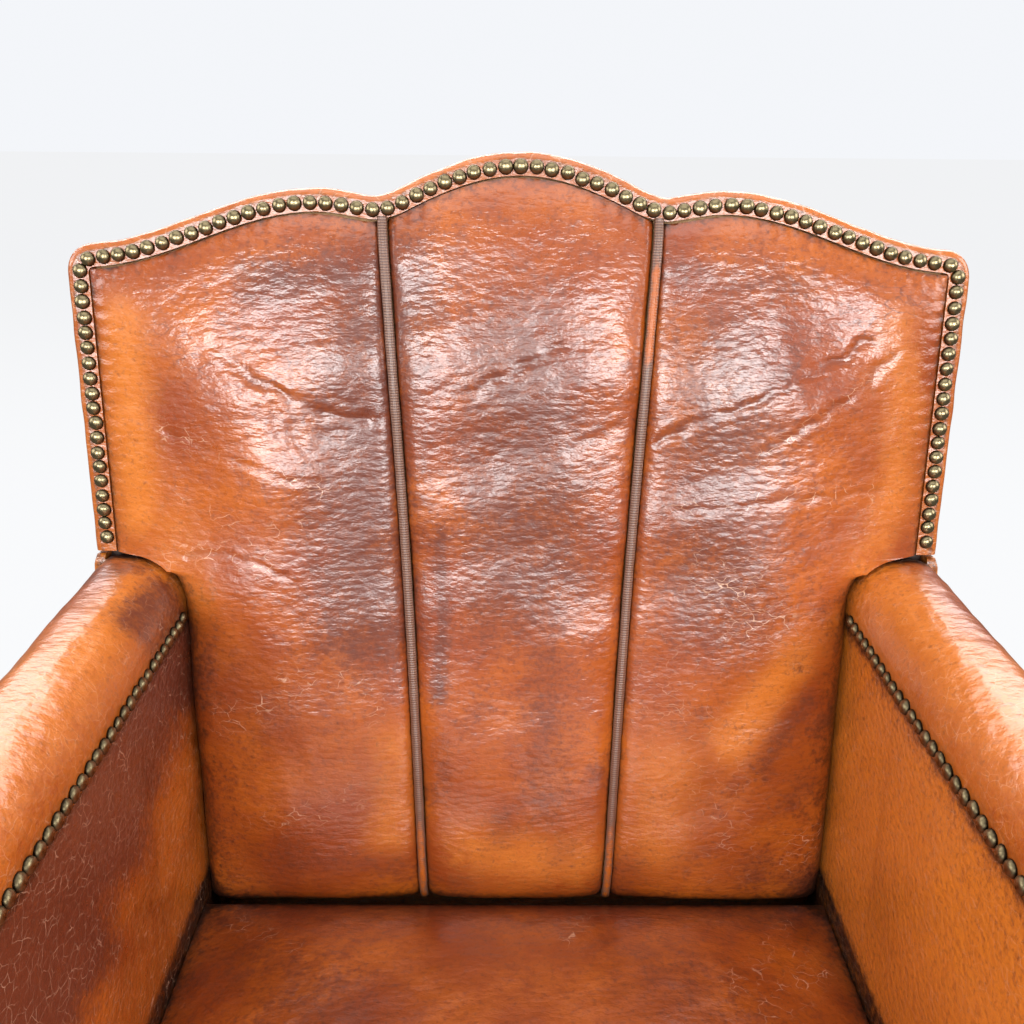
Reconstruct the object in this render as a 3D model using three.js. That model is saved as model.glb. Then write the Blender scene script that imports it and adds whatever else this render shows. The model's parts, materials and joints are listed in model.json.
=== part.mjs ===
// A worn leather club chair with a moustache back: a beech frame on short feet, webbing and coil
// springs under a tight seat, stuffed arms and back, leather covers, piping and brass nail trim.
// Units are millimetres. The chair faces -Y, +Z is up, and the origin is on the floor at its middle.
import * as THREE from 'three';

// Seat and arms. Heights are above the floor, where the seat and the arm tops meet the back.
const SEAT_WIDTH = 514;
const SEAT_DEPTH = 490;
const SEAT_HEIGHT = 288;
const SEAT_CROWN = 34;
const SEAT_ROLL_RADIUS = 42;
const SEAT_LOFT = 112;
const ARM_WIDTH = 70;
const ARM_HEIGHT = 573;
const ARM_FALL = 5.5;
const ARM_INNER_RADIUS = 36;
const ARM_OUTER_RADIUS = 22;
const ARM_PAD_DEPTH = 50;
const ARM_SETBACK = 24;
const INSIDE_ARM_SWELL = 7;

// Back, measured along its own leaning plane
const BACK_LEAN = 15;
const BACK_INSET = 6.5;
const BACK_DEPTH = 54;
const SHOULDER_RISE = 220;
const CENTRE_RISE = 64.5;
const SADDLE_RISE = 33.5;
const HUMP_RISE = 39.5;
const HUMP_PLACE = 143;
const VALLEY_SOFTNESS = 9;
const CREST_POINTS = 32;
const PIPE_SPREAD_TOP = 96;
const PIPE_SPREAD_FOOT = 76;
const PIPE_FAN = 1.7;
const PIPE_DIAMETER = 7;
const EDGE_ROLL_HEIGHT = 9;
const EDGE_ROLL_REACH = 14;
const BACK_SWELL = 15;
const SWELL_REACH = 130;
const LUMBAR_SWELL = 7;
const LUMBAR_LEVEL = 140;
const CHANNEL_DEPTH = 6;
const CHANNEL_REACH = 22;
const TUCK_DEPTH = 14;
const TUCK_REACH = 20;
const CREASE_GAP = 3;
const BORDER_LIFT = 3;

// Nail trim
const NAIL_DIAMETER = 11;
const NAIL_HEIGHT = 4.2;
const NAIL_PITCH = 11;
const NAIL_EDGE = 6;
const NAIL_CORNER = 11;
const NAIL_MARGIN = 2.2;
const ARM_NAIL_DROP = 43;

// Sheets, frame and suspension
const LEATHER = 2.4;
const HESSIAN = 2;
const WEBBING = 2.4;
const WEBBING_WIDTH = 50;
const CLEARANCE = 0.3;
const FOOT_HEIGHT = 105;
const FOOT_TAPER = 0.74;
const POST_WIDTH = 45;
const FRONT_POST_DEPTH = 55;
const RAIL_THICKNESS = 34;
const ARM_RAIL_HEIGHT = 40;
const FRAME_FRONT = 12;
const TOP_RAIL_DEPTH = 44;
const LOWER_RAIL_HEIGHT = 50;
const KNEE_LEVEL = -40;
const LEG_RAKE = 52;
const LEG_FOOT_DEPTH = 34;
const BLOCK_LEG = 58;
const BLOCK_SHARE = 0.6;
const SPRING_ROWS = 3;
const SPRING_SPACING = 148;
const SPRING_RADIUS = 40;
const SPRING_WAIST = 25;
const SPRING_WIRE = 4.5;
const SPRING_TURNS = 3.5;
const SPRING_FLAT = 0.75;
const SPRING_STEPS = 18;

// Derived places
const lean = THREE.MathUtils.degToRad(BACK_LEAN);
const fall = Math.tan(THREE.MathUtils.degToRad(ARM_FALL));
const seatHalf = SEAT_WIDTH / 2;
const outerHalf = seatHalf + ARM_WIDTH;
const backEdge = outerHalf - BACK_INSET;
const nailHalf = backEdge - NAIL_EDGE;
const padInset = NAIL_DIAMETER / 2 + NAIL_MARGIN;
const padHalf = nailHalf - padInset;
const postOuter = backEdge - LEATHER - CLEARANCE;
const postInner = postOuter - POST_WIDTH;
const armLevel = (ARM_HEIGHT - SEAT_HEIGHT) / Math.cos(lean);
const shoulderLevel = armLevel + SHOULDER_RISE;
const topRailFoot = shoulderLevel - TOP_RAIL_DEPTH;
const peakLevel = shoulderLevel + CENTRE_RISE + NAIL_EDGE;
const coverBack = BACK_DEPTH + CLEARANCE;
const padFull = EDGE_ROLL_HEIGHT + BACK_SWELL + LUMBAR_SWELL;

// The rearmost point is the peak's rear edge and the foremost is the seat's front roll.
const seatToBack = padFull - TUCK_DEPTH + CREASE_GAP;
const rearReach = peakLevel * Math.sin(lean) + (coverBack + LEATHER) * Math.cos(lean);
const depth = SEAT_DEPTH + seatToBack + rearReach;
const frontY = -depth / 2;
const backFootY = frontY + SEAT_DEPTH + seatToBack;
const backFootZ = SEAT_HEIGHT;
const armRearY = backFootY + armLevel * Math.sin(lean);
const armFrontY = frontY + ARM_SETBACK;
const facingDepth = ARM_SETBACK / 2;
const seatRearY = frontY + SEAT_DEPTH;
const seatRearZ = backFootZ + seatToBack * Math.sin(lean);
const webbingTop = FOOT_HEIGHT - CLEARANCE;
const skirtZ = FOOT_HEIGHT - 2 * (WEBBING + CLEARANCE);
const seam = 1;

const armTop = (y) => ARM_HEIGHT + (armRearY - y) * fall;
// The two ends, as y and z, of a line that runs along the arm at a drop below its top: the front one
// stands at the facing, and the rear one on a leaning plane that far behind the back's nail plane.
function armEnds(drop, behind = 0) {
  const front = armFrontY + CLEARANCE;
  const past = behind / Math.cos(lean) - CLEARANCE;
  const level = (-drop - past * fall) / (1 + Math.tan(lean) * fall);
  return [
    new THREE.Vector2(front, armTop(front) - drop),
    new THREE.Vector2(armRearY + past + level * Math.tan(lean), ARM_HEIGHT + level),
  ];
}
const seatLine = (y) => seatRearZ + (seatRearY - y) * fall;
const hessianTop = (y) => seatLine(y) - SEAT_LOFT;

// A point given on the back's leaning plane, in the chair's own frame: behind is square to the plane.
function onBack(behind, level) {
  return new THREE.Vector2(
    backFootY + behind * Math.cos(lean) + level * Math.sin(lean),
    backFootZ - behind * Math.sin(lean) + level * Math.cos(lean),
  );
}
// Where the plane that lies that far behind the nail plane passes at a height.
const backPlaneY = (behind, z) => onBack(behind, 0).x + (z - onBack(behind, 0).y) * Math.tan(lean);

// Materials
const finish = (color, roughness, metalness = 0) =>
  new THREE.MeshStandardMaterial({ color, roughness, metalness });
const tanLeather = finish(0x9a4a22, 0.42);
const amberLeather = finish(0xa65a26, 0.45);
const plumLeather = finish(0x7c4030, 0.38);
const darkPiping = finish(0x4a2d24, 0.5);
const agedBrass = finish(0x8c7f55, 0.35, 0.9);
const beech = finish(0xc49a6c, 0.7);
const darkBeech = finish(0x3a2216, 0.45);
const jute = finish(0xb49a6e, 0.95);
const hair = finish(0x5a4634, 0.95);
const spring = finish(0x8a8078, 0.45, 0.8);
const lining = finish(0x26221f, 0.95);

const { lerp, clamp, smoothstep } = THREE.MathUtils;
const flatPoints = (pairs) => pairs.map((p) => new THREE.Vector2(...p));
const acrossCrest = (from, to) =>
  Array.from({ length: CREST_POINTS + 1 }, (_, i) => lerp(from, to, i / CREST_POINTS));
const extruded = (outline, depth) =>
  new THREE.ExtrudeGeometry(new THREE.Shape(outline), { depth, bevelEnabled: false });

const chair = new THREE.Group();
const back = new THREE.Group();
back.position.set(0, backFootY, backFootZ);
back.rotation.x = -lean;
chair.add(back);

function add(parent, name, geometry, material) {
  const mesh = new THREE.Mesh(geometry, material);
  mesh.name = name;
  parent.add(mesh);
  return mesh;
}

// Turns a closed triangle mesh right side out, by the sign of its volume.
function closed(points, triangles) {
  let volume = 0;
  for (let i = 0; i < triangles.length; i += 3) {
    const [a, b, c] = [0, 1, 2].map((k) => points[triangles[i + k]]);
    volume += a.dot(new THREE.Vector3().crossVectors(b, c));
  }
  if (volume < 0) triangles.reverse();
  const geometry = new THREE.BufferGeometry().setFromPoints(points);
  geometry.setIndex(triangles);
  geometry.computeVertexNormals();
  return geometry;
}

// The solid between two surfaces over one grid: near(u, row, column) and far, with u from 0 to 1.
function sheet(near, far, across, rows) {
  const points = [];
  const triangles = [];
  const layer = (across + 1) * (rows + 1);
  for (const surface of [near, far])
    for (let j = 0; j <= rows; j++)
      for (let i = 0; i <= across; i++) points.push(surface(i / across, j, i));
  const at = (i, j, side) => side * layer + j * (across + 1) + i;
  const quad = (a, b, c, d) => triangles.push(a, b, c, a, c, d);
  for (let j = 0; j < rows; j++)
    for (let i = 0; i < across; i++) {
      quad(at(i, j, 0), at(i + 1, j, 0), at(i + 1, j + 1, 0), at(i, j + 1, 0));
      quad(at(i, j, 1), at(i, j + 1, 1), at(i + 1, j + 1, 1), at(i + 1, j, 1));
    }
  for (let i = 0; i < across; i++) {
    quad(at(i, 0, 1), at(i + 1, 0, 1), at(i + 1, 0, 0), at(i, 0, 0));
    quad(at(i, rows, 0), at(i + 1, rows, 0), at(i + 1, rows, 1), at(i, rows, 1));
  }
  for (let j = 0; j < rows; j++) {
    quad(at(0, j, 0), at(0, j + 1, 0), at(0, j + 1, 1), at(0, j, 1));
    quad(at(across, j, 1), at(across, j + 1, 1), at(across, j + 1, 0), at(across, j, 0));
  }
  return closed(points, triangles);
}

// The solid that joins like loops of points in a row. Its two ends are capped as the flat outline is.
function loft(loops, outline) {
  const n = outline.length;
  const points = loops.flat();
  const triangles = [];
  for (let k = 0; k + 1 < loops.length; k++)
    for (let i = 0; i < n; i++) {
      const a = k * n + i;
      const b = k * n + ((i + 1) % n);
      triangles.push(a, b, b + n, a, b + n, a + n);
    }
  const turns = THREE.ShapeUtils.isClockWise(outline);
  const last = (loops.length - 1) * n;
  for (const [a, b, c] of THREE.ShapeUtils.triangulateShape(outline, [])) {
    triangles.push(...(turns ? [a, b, c] : [a, c, b]));
    triangles.push(...(turns ? [last + a, last + c, last + b] : [last + a, last + b, last + c]));
  }
  return closed(points, triangles);
}

// A member sawn to an outline in the side view, y and z, and standing from x for a thickness.
function sideBoard(parent, name, outline, x, thickness, material) {
  const board = add(parent, name, extruded(outline, thickness), material);
  const [across, forward, up] = [[0, 1, 0], [0, 0, 1], [1, 0, 0]].map((v) => new THREE.Vector3(...v));
  board.quaternion.setFromRotationMatrix(new THREE.Matrix4().makeBasis(across, forward, up));
  board.position.x = x;
  return board;
}

// A board with square corners between two corner points.
function block(parent, name, low, high, material) {
  const size = high.map((v, i) => v - low[i]);
  const mesh = add(parent, name, new THREE.BoxGeometry(...size), material);
  mesh.position.set(...low.map((v, i) => v + size[i] / 2));
  return mesh;
}

// Each side of the chair: its name, and the sign of x there.
const SIDES = [['left', -1], ['right', 1]];
const fromSide = (sign, inner, outer) => (sign > 0 ? inner : -outer);

// The moustache: how far the nail line stands above its corners. An arch over the middle panel falls
// to saddles at the piping, a low hump follows, and an easy curve drops to the corners.
function rawRise(x) {
  const a = Math.abs(x);
  if (a < PIPE_SPREAD_TOP)
    return SADDLE_RISE + (CENTRE_RISE - SADDLE_RISE) * Math.cos((Math.PI / 2) * (a / PIPE_SPREAD_TOP));
  if (a < HUMP_PLACE) {
    const part = (a - PIPE_SPREAD_TOP) / (HUMP_PLACE - PIPE_SPREAD_TOP);
    return SADDLE_RISE + (HUMP_RISE - SADDLE_RISE) * Math.sin((Math.PI / 2) * part) ** 2;
  }
  const part = Math.min(1, (a - HUMP_PLACE) / (nailHalf - HUMP_PLACE));
  return (HUMP_RISE * (1 + Math.cos(Math.PI * part))) / 2;
}
const rise = (x) => (rawRise(x - VALLEY_SOFTNESS) + rawRise(x) + rawRise(x + VALLEY_SOFTNESS)) / 3;
const nailLevel = (x) => shoulderLevel + rise(x);
const nailSlope = (x) => (nailLevel(x + 1) - nailLevel(x - 1)) / 2;
const padTop = (x) => nailLevel(x) - padInset * Math.hypot(1, nailSlope(x));

// The piping fans out from the foot of the back to the saddles.
const pipeSpread = (level) =>
  lerp(PIPE_SPREAD_FOOT, PIPE_SPREAD_TOP, Math.max(0, level / shoulderLevel) ** PIPE_FAN);

// How far the stuffed back stands in front of the nail plane: a firm roll inside the nails, a broad
// swell, a fuller part behind the sitter's waist, channels along the piping and a tuck at the foot.
function puff(x, level) {
  const side = Math.max(0, padHalf - Math.abs(x));
  const top = Math.max(0, padTop(x) - level);
  const roll = (1 - Math.exp(-side / EDGE_ROLL_REACH)) * (1 - Math.exp(-top / EDGE_ROLL_REACH));
  const swell = smoothstep(side, 0, SWELL_REACH) * smoothstep(top, 0, SWELL_REACH);
  const lumbar = Math.exp(-(((level - LUMBAR_LEVEL) / LUMBAR_LEVEL) ** 2));
  const channel = Math.exp(-Math.abs(Math.abs(x) - pipeSpread(level)) / CHANNEL_REACH);
  const tuck = Math.exp(-level / TUCK_REACH);
  const fullness = BACK_SWELL + LUMBAR_SWELL * lumbar - CHANNEL_DEPTH * channel - TUCK_DEPTH * tuck;
  return seam + EDGE_ROLL_HEIGHT * roll + fullness * swell;
}

// The rounded top of an arm as a section: points from the inner nail edge over to the outer side,
// as distance from the inside arm face and height from the arm's top, shrunk inwards by inset.
function armSection(inset) {
  const inner = new THREE.Vector2(ARM_INNER_RADIUS, -ARM_INNER_RADIUS);
  const outer = new THREE.Vector2(ARM_WIDTH - ARM_OUTER_RADIUS, -ARM_OUTER_RADIUS);
  const path = new THREE.Path();
  path.moveTo(inset, -ARM_PAD_DEPTH);
  path.lineTo(inset, inner.y);
  path.absarc(inner.x, inner.y, ARM_INNER_RADIUS - inset, Math.PI, Math.PI / 2, true);
  path.absarc(outer.x, outer.y, ARM_OUTER_RADIUS - inset, Math.PI / 2, 0, true);
  path.lineTo(ARM_WIDTH - inset, -ARM_PAD_DEPTH);
  return path.getPoints(4);
}

// Half the width of the stuffed back: to the border above the arms, and between the arms below, where
// its edge goes round the arm's rounded top with a seam's room.
const armSeam = 2;
const roundRadius = ARM_INNER_RADIUS + armSeam;
const armDrop = (level) => (armLevel - level) * (Math.cos(lean) + Math.sin(lean) * fall);
const dropLevel = (drop) => armLevel - drop / (Math.cos(lean) + Math.sin(lean) * fall);
function backHalf(level) {
  const above = ARM_INNER_RADIUS - armDrop(level);
  if (above > roundRadius) return padHalf;
  return seatHalf + ARM_INNER_RADIUS - Math.sqrt(roundRadius ** 2 - Math.max(0, above) ** 2);
}
// The back's rows of points: up from the seat, round the arm's top, then up to the nails.
const ROUND_ROWS = [0, 30, 60, 90].map((turn) =>
  dropLevel(ARM_INNER_RADIUS - roundRadius * Math.sin(THREE.MathUtils.degToRad(turn))));
const LOWER_ROWS = [0, 0.1, 0.35, 0.68].map((part) => part * ROUND_ROWS[0]);
const UPPER_ROWS = [0, 0.45, 0.88, 1];
const borderFoot = armLevel + BORDER_LIFT;
const fixedRows = [...LOWER_ROWS, ...ROUND_ROWS];
const backRows = fixedRows.length + UPPER_ROWS.length - 1;
function rowLevel(row, x) {
  if (row < fixedRows.length) return fixedRows[row];
  return lerp(borderFoot, padTop(x), UPPER_ROWS[row - fixedRows.length]);
}
// The back's columns of points: each stands at a share of the way between two edges that follow the
// height, closer together near the edges. Panels meet at the piping with the cord's width between them.
const PANEL_COLUMNS = 6;
const CENTRE_COLUMNS = 8;
const cordHalf = PIPE_DIAMETER / 2 + CLEARANCE;
function columnsBetween(from, to, count) {
  const shares = Array.from({ length: count + 1 }, (_, i) => (1 - Math.cos((Math.PI * i) / count)) / 2);
  return shares.map((share) => (level) => lerp(from(level), to(level), share));
}
const PANELS = {
  left: columnsBetween((s) => -backHalf(s), (s) => -pipeSpread(s) - cordHalf, PANEL_COLUMNS),
  centre: columnsBetween((s) => cordHalf - pipeSpread(s), (s) => pipeSpread(s) - cordHalf, CENTRE_COLUMNS),
  right: columnsBetween((s) => pipeSpread(s) + cordHalf, backHalf, PANEL_COLUMNS),
};
// A point of the stuffed back on a column and row, a depth under its surface.
function backPoint(column, row, under) {
  const level = rowLevel(row, column(shoulderLevel));
  const x = column(level);
  return new THREE.Vector3(x, under - puff(x, level), level);
}

function makeBackUpholstery() {
  const whole = [...PANELS.left, ...PANELS.centre, ...PANELS.right];
  const underLeather = LEATHER + CLEARANCE;
  const skin = (columns, under) => (u, row, i) => backPoint(columns[i], row, under);
  const flat = (columns, behind) => (u, row, i) => backPoint(columns[i], row, 0).setY(behind);
  const hessianBack = FRAME_FRONT - CLEARANCE;
  const hessianFront = hessianBack - HESSIAN;
  const rearFace = flat(whole, hessianFront - CLEARANCE);
  add(back, 'back_stuffing', sheet(skin(whole, underLeather), rearFace, whole.length - 1, backRows), hair);
  const crest = acrossCrest(padHalf, -padHalf);
  const outline = fixedRows.map((level) => [backHalf(level), level]);
  outline.push([padHalf, borderFoot]);
  outline.push(...crest.map((x) => [x, padTop(x) - armSeam]));
  outline.push([-padHalf, borderFoot]);
  outline.push(...fixedRows.map((level) => [-backHalf(level), level]).reverse());
  const hung = add(back, 'back_hessian', extruded(flatPoints(outline), HESSIAN), jute);
  hung.rotation.x = Math.PI / 2;
  hung.position.y = hessianBack;

  for (const [name, columns] of Object.entries(PANELS)) {
    const panel = sheet(skin(columns, 0), skin(columns, LEATHER), columns.length - 1, backRows);
    add(back, `back_panel_${name}`, panel, name === 'centre' ? plumLeather : tanLeather);
  }
  const ring = new THREE.Path().absarc(0, 0, PIPE_DIAMETER / 2, 0, 2 * Math.PI).getPoints(3).slice(0, -1);
  for (const [name, sign] of SIDES) {
    const { left, centre, right } = PANELS;
    const beside = sign < 0 ? [left.at(-1), centre[0]] : [centre.at(-1), right[0]];
    const loops = Array.from({ length: backRows + 1 }, (_, row) => {
      const [a, b] = beside.map((column) => backPoint(column, row, LEATHER - PIPE_DIAMETER / 2));
      const middle = a.lerp(b, 0.5);
      return ring.map((p) => new THREE.Vector3(middle.x + p.x, middle.y + p.y, middle.z));
    });
    add(back, `back_piping_${name}`, loft(loops, ring), darkPiping);
  }
}

// The nail line round the back: up one side, round the corner, over the moustache and down again.
function nailLine() {
  const x = nailHalf;
  const corner = new THREE.Vector3(-x, 0, shoulderLevel);
  const overX = x - NAIL_CORNER;
  const foot = new THREE.Vector3(-x, 0, borderFoot + NAIL_DIAMETER / 2);
  const shoulder = new THREE.Vector3(-x, 0, shoulderLevel - NAIL_CORNER);
  const over = new THREE.Vector3(-overX, 0, nailLevel(overX));
  const mirror = (p) => p.clone().setX(-p.x);
  const crest = acrossCrest(-overX, overX);
  const line = new THREE.CurvePath();
  line.add(new THREE.LineCurve3(foot, shoulder));
  line.add(new THREE.QuadraticBezierCurve3(shoulder, corner, over));
  line.add(new THREE.CatmullRomCurve3(crest.map((q) => new THREE.Vector3(q, 0, nailLevel(q)))));
  line.add(new THREE.QuadraticBezierCurve3(mirror(over), mirror(corner), mirror(shoulder)));
  line.add(new THREE.LineCurve3(mirror(shoulder), mirror(foot)));
  return line;
}

// A run of nail heads that touch, made as one beaded strip: each head is a dome that narrows to its
// neighbour. place(share) gives a point on the run, the way along it, and the way out of the leather.
const HEAD_STATIONS = [-0.5, -0.26, 0.26];
const HEAD_NECK = 0.12;
function nailRun(length, place) {
  const count = Math.max(2, Math.round(length / NAIL_PITCH));
  const half = NAIL_DIAMETER / 2;
  const loops = [];
  const outline = flatPoints([[-1, 0], [-0.62, 0.82], [0.62, 0.82], [1, 0]]);
  const station = (share, size) => {
    const { point, along, out } = place(clamp(share, 0, 1));
    const across = new THREE.Vector3().crossVectors(along, out).normalize();
    loops.push(outline.map(({ x, y }) => point.clone()
      .addScaledVector(across, x * half * size)
      .addScaledVector(out, CLEARANCE + y * NAIL_HEIGHT * size)));
  };
  for (let i = 0; i < count; i++)
    for (const at of HEAD_STATIONS) {
      const round = Math.sqrt(1 - (2 * at) ** 2);
      station((i + 0.5 + at) / count, Math.max(HEAD_NECK, round));
    }
  station(1, HEAD_NECK);
  return loft(loops, outline);
}

function makeBackTrim() {
  const line = nailLine();
  const out = new THREE.Vector3(0, -1, 0);
  const nails = nailRun(line.getLength(), (share) => ({
    point: line.getPointAt(share), along: line.getTangentAt(share), out,
  }));
  add(back, 'back_nails', nails, agedBrass);

  // The border: leather over a firm edge roll, then back over the frame to the outside back.
  const edge = NAIL_EDGE + CLEARANCE;
  const wall = edge - LEATHER;
  const soft = NAIL_EDGE / 2;
  const rollBack = FRAME_FRONT - CLEARANCE;
  const section = flatPoints([
    [-NAIL_EDGE, 0], [soft, 0], [edge - soft / 4, soft / 3], [edge, soft + seam],
    [edge, BACK_DEPTH], [wall, BACK_DEPTH], [wall, rollBack], [-NAIL_EDGE, rollBack],
  ]);
  const counts = [1, 4, CREST_POINTS, 4, 1];
  const stations = line.curves.flatMap((curve, k) => curve.getPoints(counts[k]).slice(k ? 1 : 0));
  stations[0].z = borderFoot;
  stations[stations.length - 1].z = borderFoot;
  const loops = stations.map((point, i) => {
    const before = stations[Math.max(0, i - 1)];
    const after = stations[Math.min(stations.length - 1, i + 1)];
    const along = after.clone().sub(before).normalize();
    const outward = new THREE.Vector3(-along.z, 0, along.x);
    return section.map(({ x, y }) => point.clone().addScaledVector(outward, x).setY(y));
  });
  add(back, 'back_border', loft(loops, section), tanLeather);
}

// The outside back: one leather sheet down the frame's rear, bent at the knee of the rear legs.
function makeOutsideBack() {
  const half = backEdge - seam;
  const knee = onBack(coverBack, KNEE_LEVEL);
  const foot = legPoint(skirtZ, coverBack);
  const kneeTurn = LEATHER * Math.tan((lean + Math.atan((foot.x - knee.x) / (knee.y - foot.y))) / 2);
  const rows = 2;
  const at = (skin) => (u, row) => {
    const x = lerp(-half, half, u);
    if (row === 0) return new THREE.Vector3(x, foot.x + skin, foot.y);
    const level = lerp(KNEE_LEVEL, nailLevel(x) + NAIL_EDGE, (row - 1) / (rows - 1));
    const turn = row === 1 ? (kneeTurn * skin) / LEATHER : 0;
    const p = onBack(coverBack + skin, level + turn);
    return new THREE.Vector3(x, p.x, p.y);
  };
  add(chair, 'outside_back', sheet(at(LEATHER), at(0), CREST_POINTS / 2, rows), amberLeather);
}

// A point on the rear leg below its knee, at a height and a distance behind the nail plane there.
function legPoint(z, behind) {
  const knee = onBack(behind, KNEE_LEVEL);
  const share = (knee.y - z) / knee.y;
  const taper = (behind - FRAME_FRONT) / (BACK_DEPTH - FRAME_FRONT);
  const full = (BACK_DEPTH - FRAME_FRONT) / Math.cos(lean);
  return new THREE.Vector2(knee.x + share * (LEG_RAKE - taper * (full - LEG_FOOT_DEPTH)), z);
}

function makeFrame() {
  const underRail = FOOT_HEIGHT;
  const railInner = postInner;
  const railOuter = railInner + RAIL_THICKNESS;
  const frontPostRear = armFrontY + CLEARANCE + FRONT_POST_DEPTH;
  const railTop = (y) => hessianTop(y) - HESSIAN - CLEARANCE;
  const armRailTop = (y) => armTop(y) - ARM_PAD_DEPTH - CLEARANCE;
  const armRailFoot = (y) => armRailTop(y) - ARM_RAIL_HEIGHT;
  const legFront = (z) => legPoint(z, FRAME_FRONT).x - CLEARANCE;
  const rearRailFront = legFront(underRail) - RAIL_THICKNESS / 2 - CLEARANCE;
  const frontRailFront = armFrontY + CLEARANCE;
  const frontRailRear = frontRailFront + RAIL_THICKNESS;

  for (const [name, sign] of SIDES) {
    const post = [
      legPoint(0, FRAME_FRONT), legPoint(0, BACK_DEPTH), onBack(BACK_DEPTH, KNEE_LEVEL),
      onBack(BACK_DEPTH, topRailFoot), onBack(FRAME_FRONT, topRailFoot), onBack(FRAME_FRONT, KNEE_LEVEL),
    ];
    const postX = fromSide(sign, postInner, postOuter);
    sideBoard(chair, `rear_post_${name}`, post, postX, POST_WIDTH, darkBeech);

    const stump = flatPoints([
      [frontRailFront, underRail], [frontPostRear, underRail],
      [frontPostRear, armRailFoot(frontPostRear) - CLEARANCE],
      [frontRailFront, armRailFoot(frontRailFront) - CLEARANCE],
    ]);
    sideBoard(chair, `front_post_${name}`, stump, postX, POST_WIDTH, beech);

    const upper = armEnds(ARM_PAD_DEPTH + CLEARANCE, FRAME_FRONT);
    const lower = armEnds(ARM_PAD_DEPTH + CLEARANCE + ARM_RAIL_HEIGHT, FRAME_FRONT);
    const armRail = [lower[0], lower[1], upper[1], upper[0]];
    sideBoard(chair, `arm_rail_${name}`, armRail, postX, POST_WIDTH, beech);

    const sideFront = frontPostRear + CLEARANCE;
    const sideTop = railTop(legFront(railTop(backFootY)));
    const sideRail = flatPoints([
      [sideFront, underRail], [legFront(underRail), underRail],
      [legFront(sideTop), sideTop], [sideFront, railTop(sideFront)],
    ]);
    const railX = fromSide(sign, railInner, railOuter);
    sideBoard(chair, `seat_rail_${name}`, sideRail, railX, RAIL_THICKNESS, beech);

    const corner = railInner - CLEARANCE;
    const blockHeight = (railTop(rearRailFront) - underRail) * BLOCK_SHARE;
    const makeBlock = (place, y, way) => {
      const [near, far] = [sign * corner, sign * (corner - BLOCK_LEG)];
      const outline = flatPoints([[near, y], [far, y], [near, y + way * BLOCK_LEG]]);
      const made = add(chair, `corner_block_${place}_${name}`, extruded(outline, blockHeight), beech);
      made.position.z = underRail;
    };
    makeBlock('front', frontRailRear + CLEARANCE, 1);
    makeBlock('rear', rearRailFront - CLEARANCE, -1);

    // The front foot: a square block that tapers to the floor, dark like the rear legs.
    const footHalf = POST_WIDTH / 2;
    const footDepth = FRONT_POST_DEPTH / 2;
    const square = flatPoints([[-1, -1], [1, -1], [1, 1], [-1, 1]]);
    const footX = sign * (postInner + footHalf);
    const footY = frontRailFront + footDepth;
    const footLoops = [[0, FOOT_TAPER], [FOOT_HEIGHT - CLEARANCE, 1]].map(([z, size]) => square.map(
      (p) => new THREE.Vector3(footX + p.x * footHalf * size, footY + p.y * footDepth * size, z),
    ));
    add(chair, `front_foot_${name}`, loft(footLoops, square), darkBeech);
  }

  const between = railInner - CLEARANCE;
  const crossRail = (name, front) => {
    const rear = front + RAIL_THICKNESS;
    block(chair, name, [-between, front, underRail], [between, rear, railTop(rear)], beech);
    return rear;
  };
  crossRail('seat_rail_front', frontRailFront);
  const rearRailRear = crossRail('seat_rail_rear', rearRailFront);
  block(back, 'back_lower_rail', [-between, FRAME_FRONT, PIPE_DIAMETER],
    [between, FRAME_FRONT + RAIL_THICKNESS, PIPE_DIAMETER + LOWER_RAIL_HEIGHT], beech);

  // The top rail is sawn to the moustache and stands on the rear posts.
  const railHalf = nailHalf - NAIL_EDGE / 2;
  const crest = acrossCrest(railHalf, -railHalf);
  const outline = [[-railHalf, topRailFoot + CLEARANCE], [railHalf, topRailFoot + CLEARANCE]];
  outline.push(...crest.map((x) => [x, nailLevel(x) + seam]));
  const topRail = add(back, 'back_top_rail', extruded(flatPoints(outline), BACK_DEPTH - FRAME_FRONT), beech);
  topRail.rotation.x = Math.PI / 2;
  topRail.position.y = BACK_DEPTH;

  makeSuspension(frontRailFront, rearRailRear, frontRailRear, rearRailFront, railOuter);
}

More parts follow.
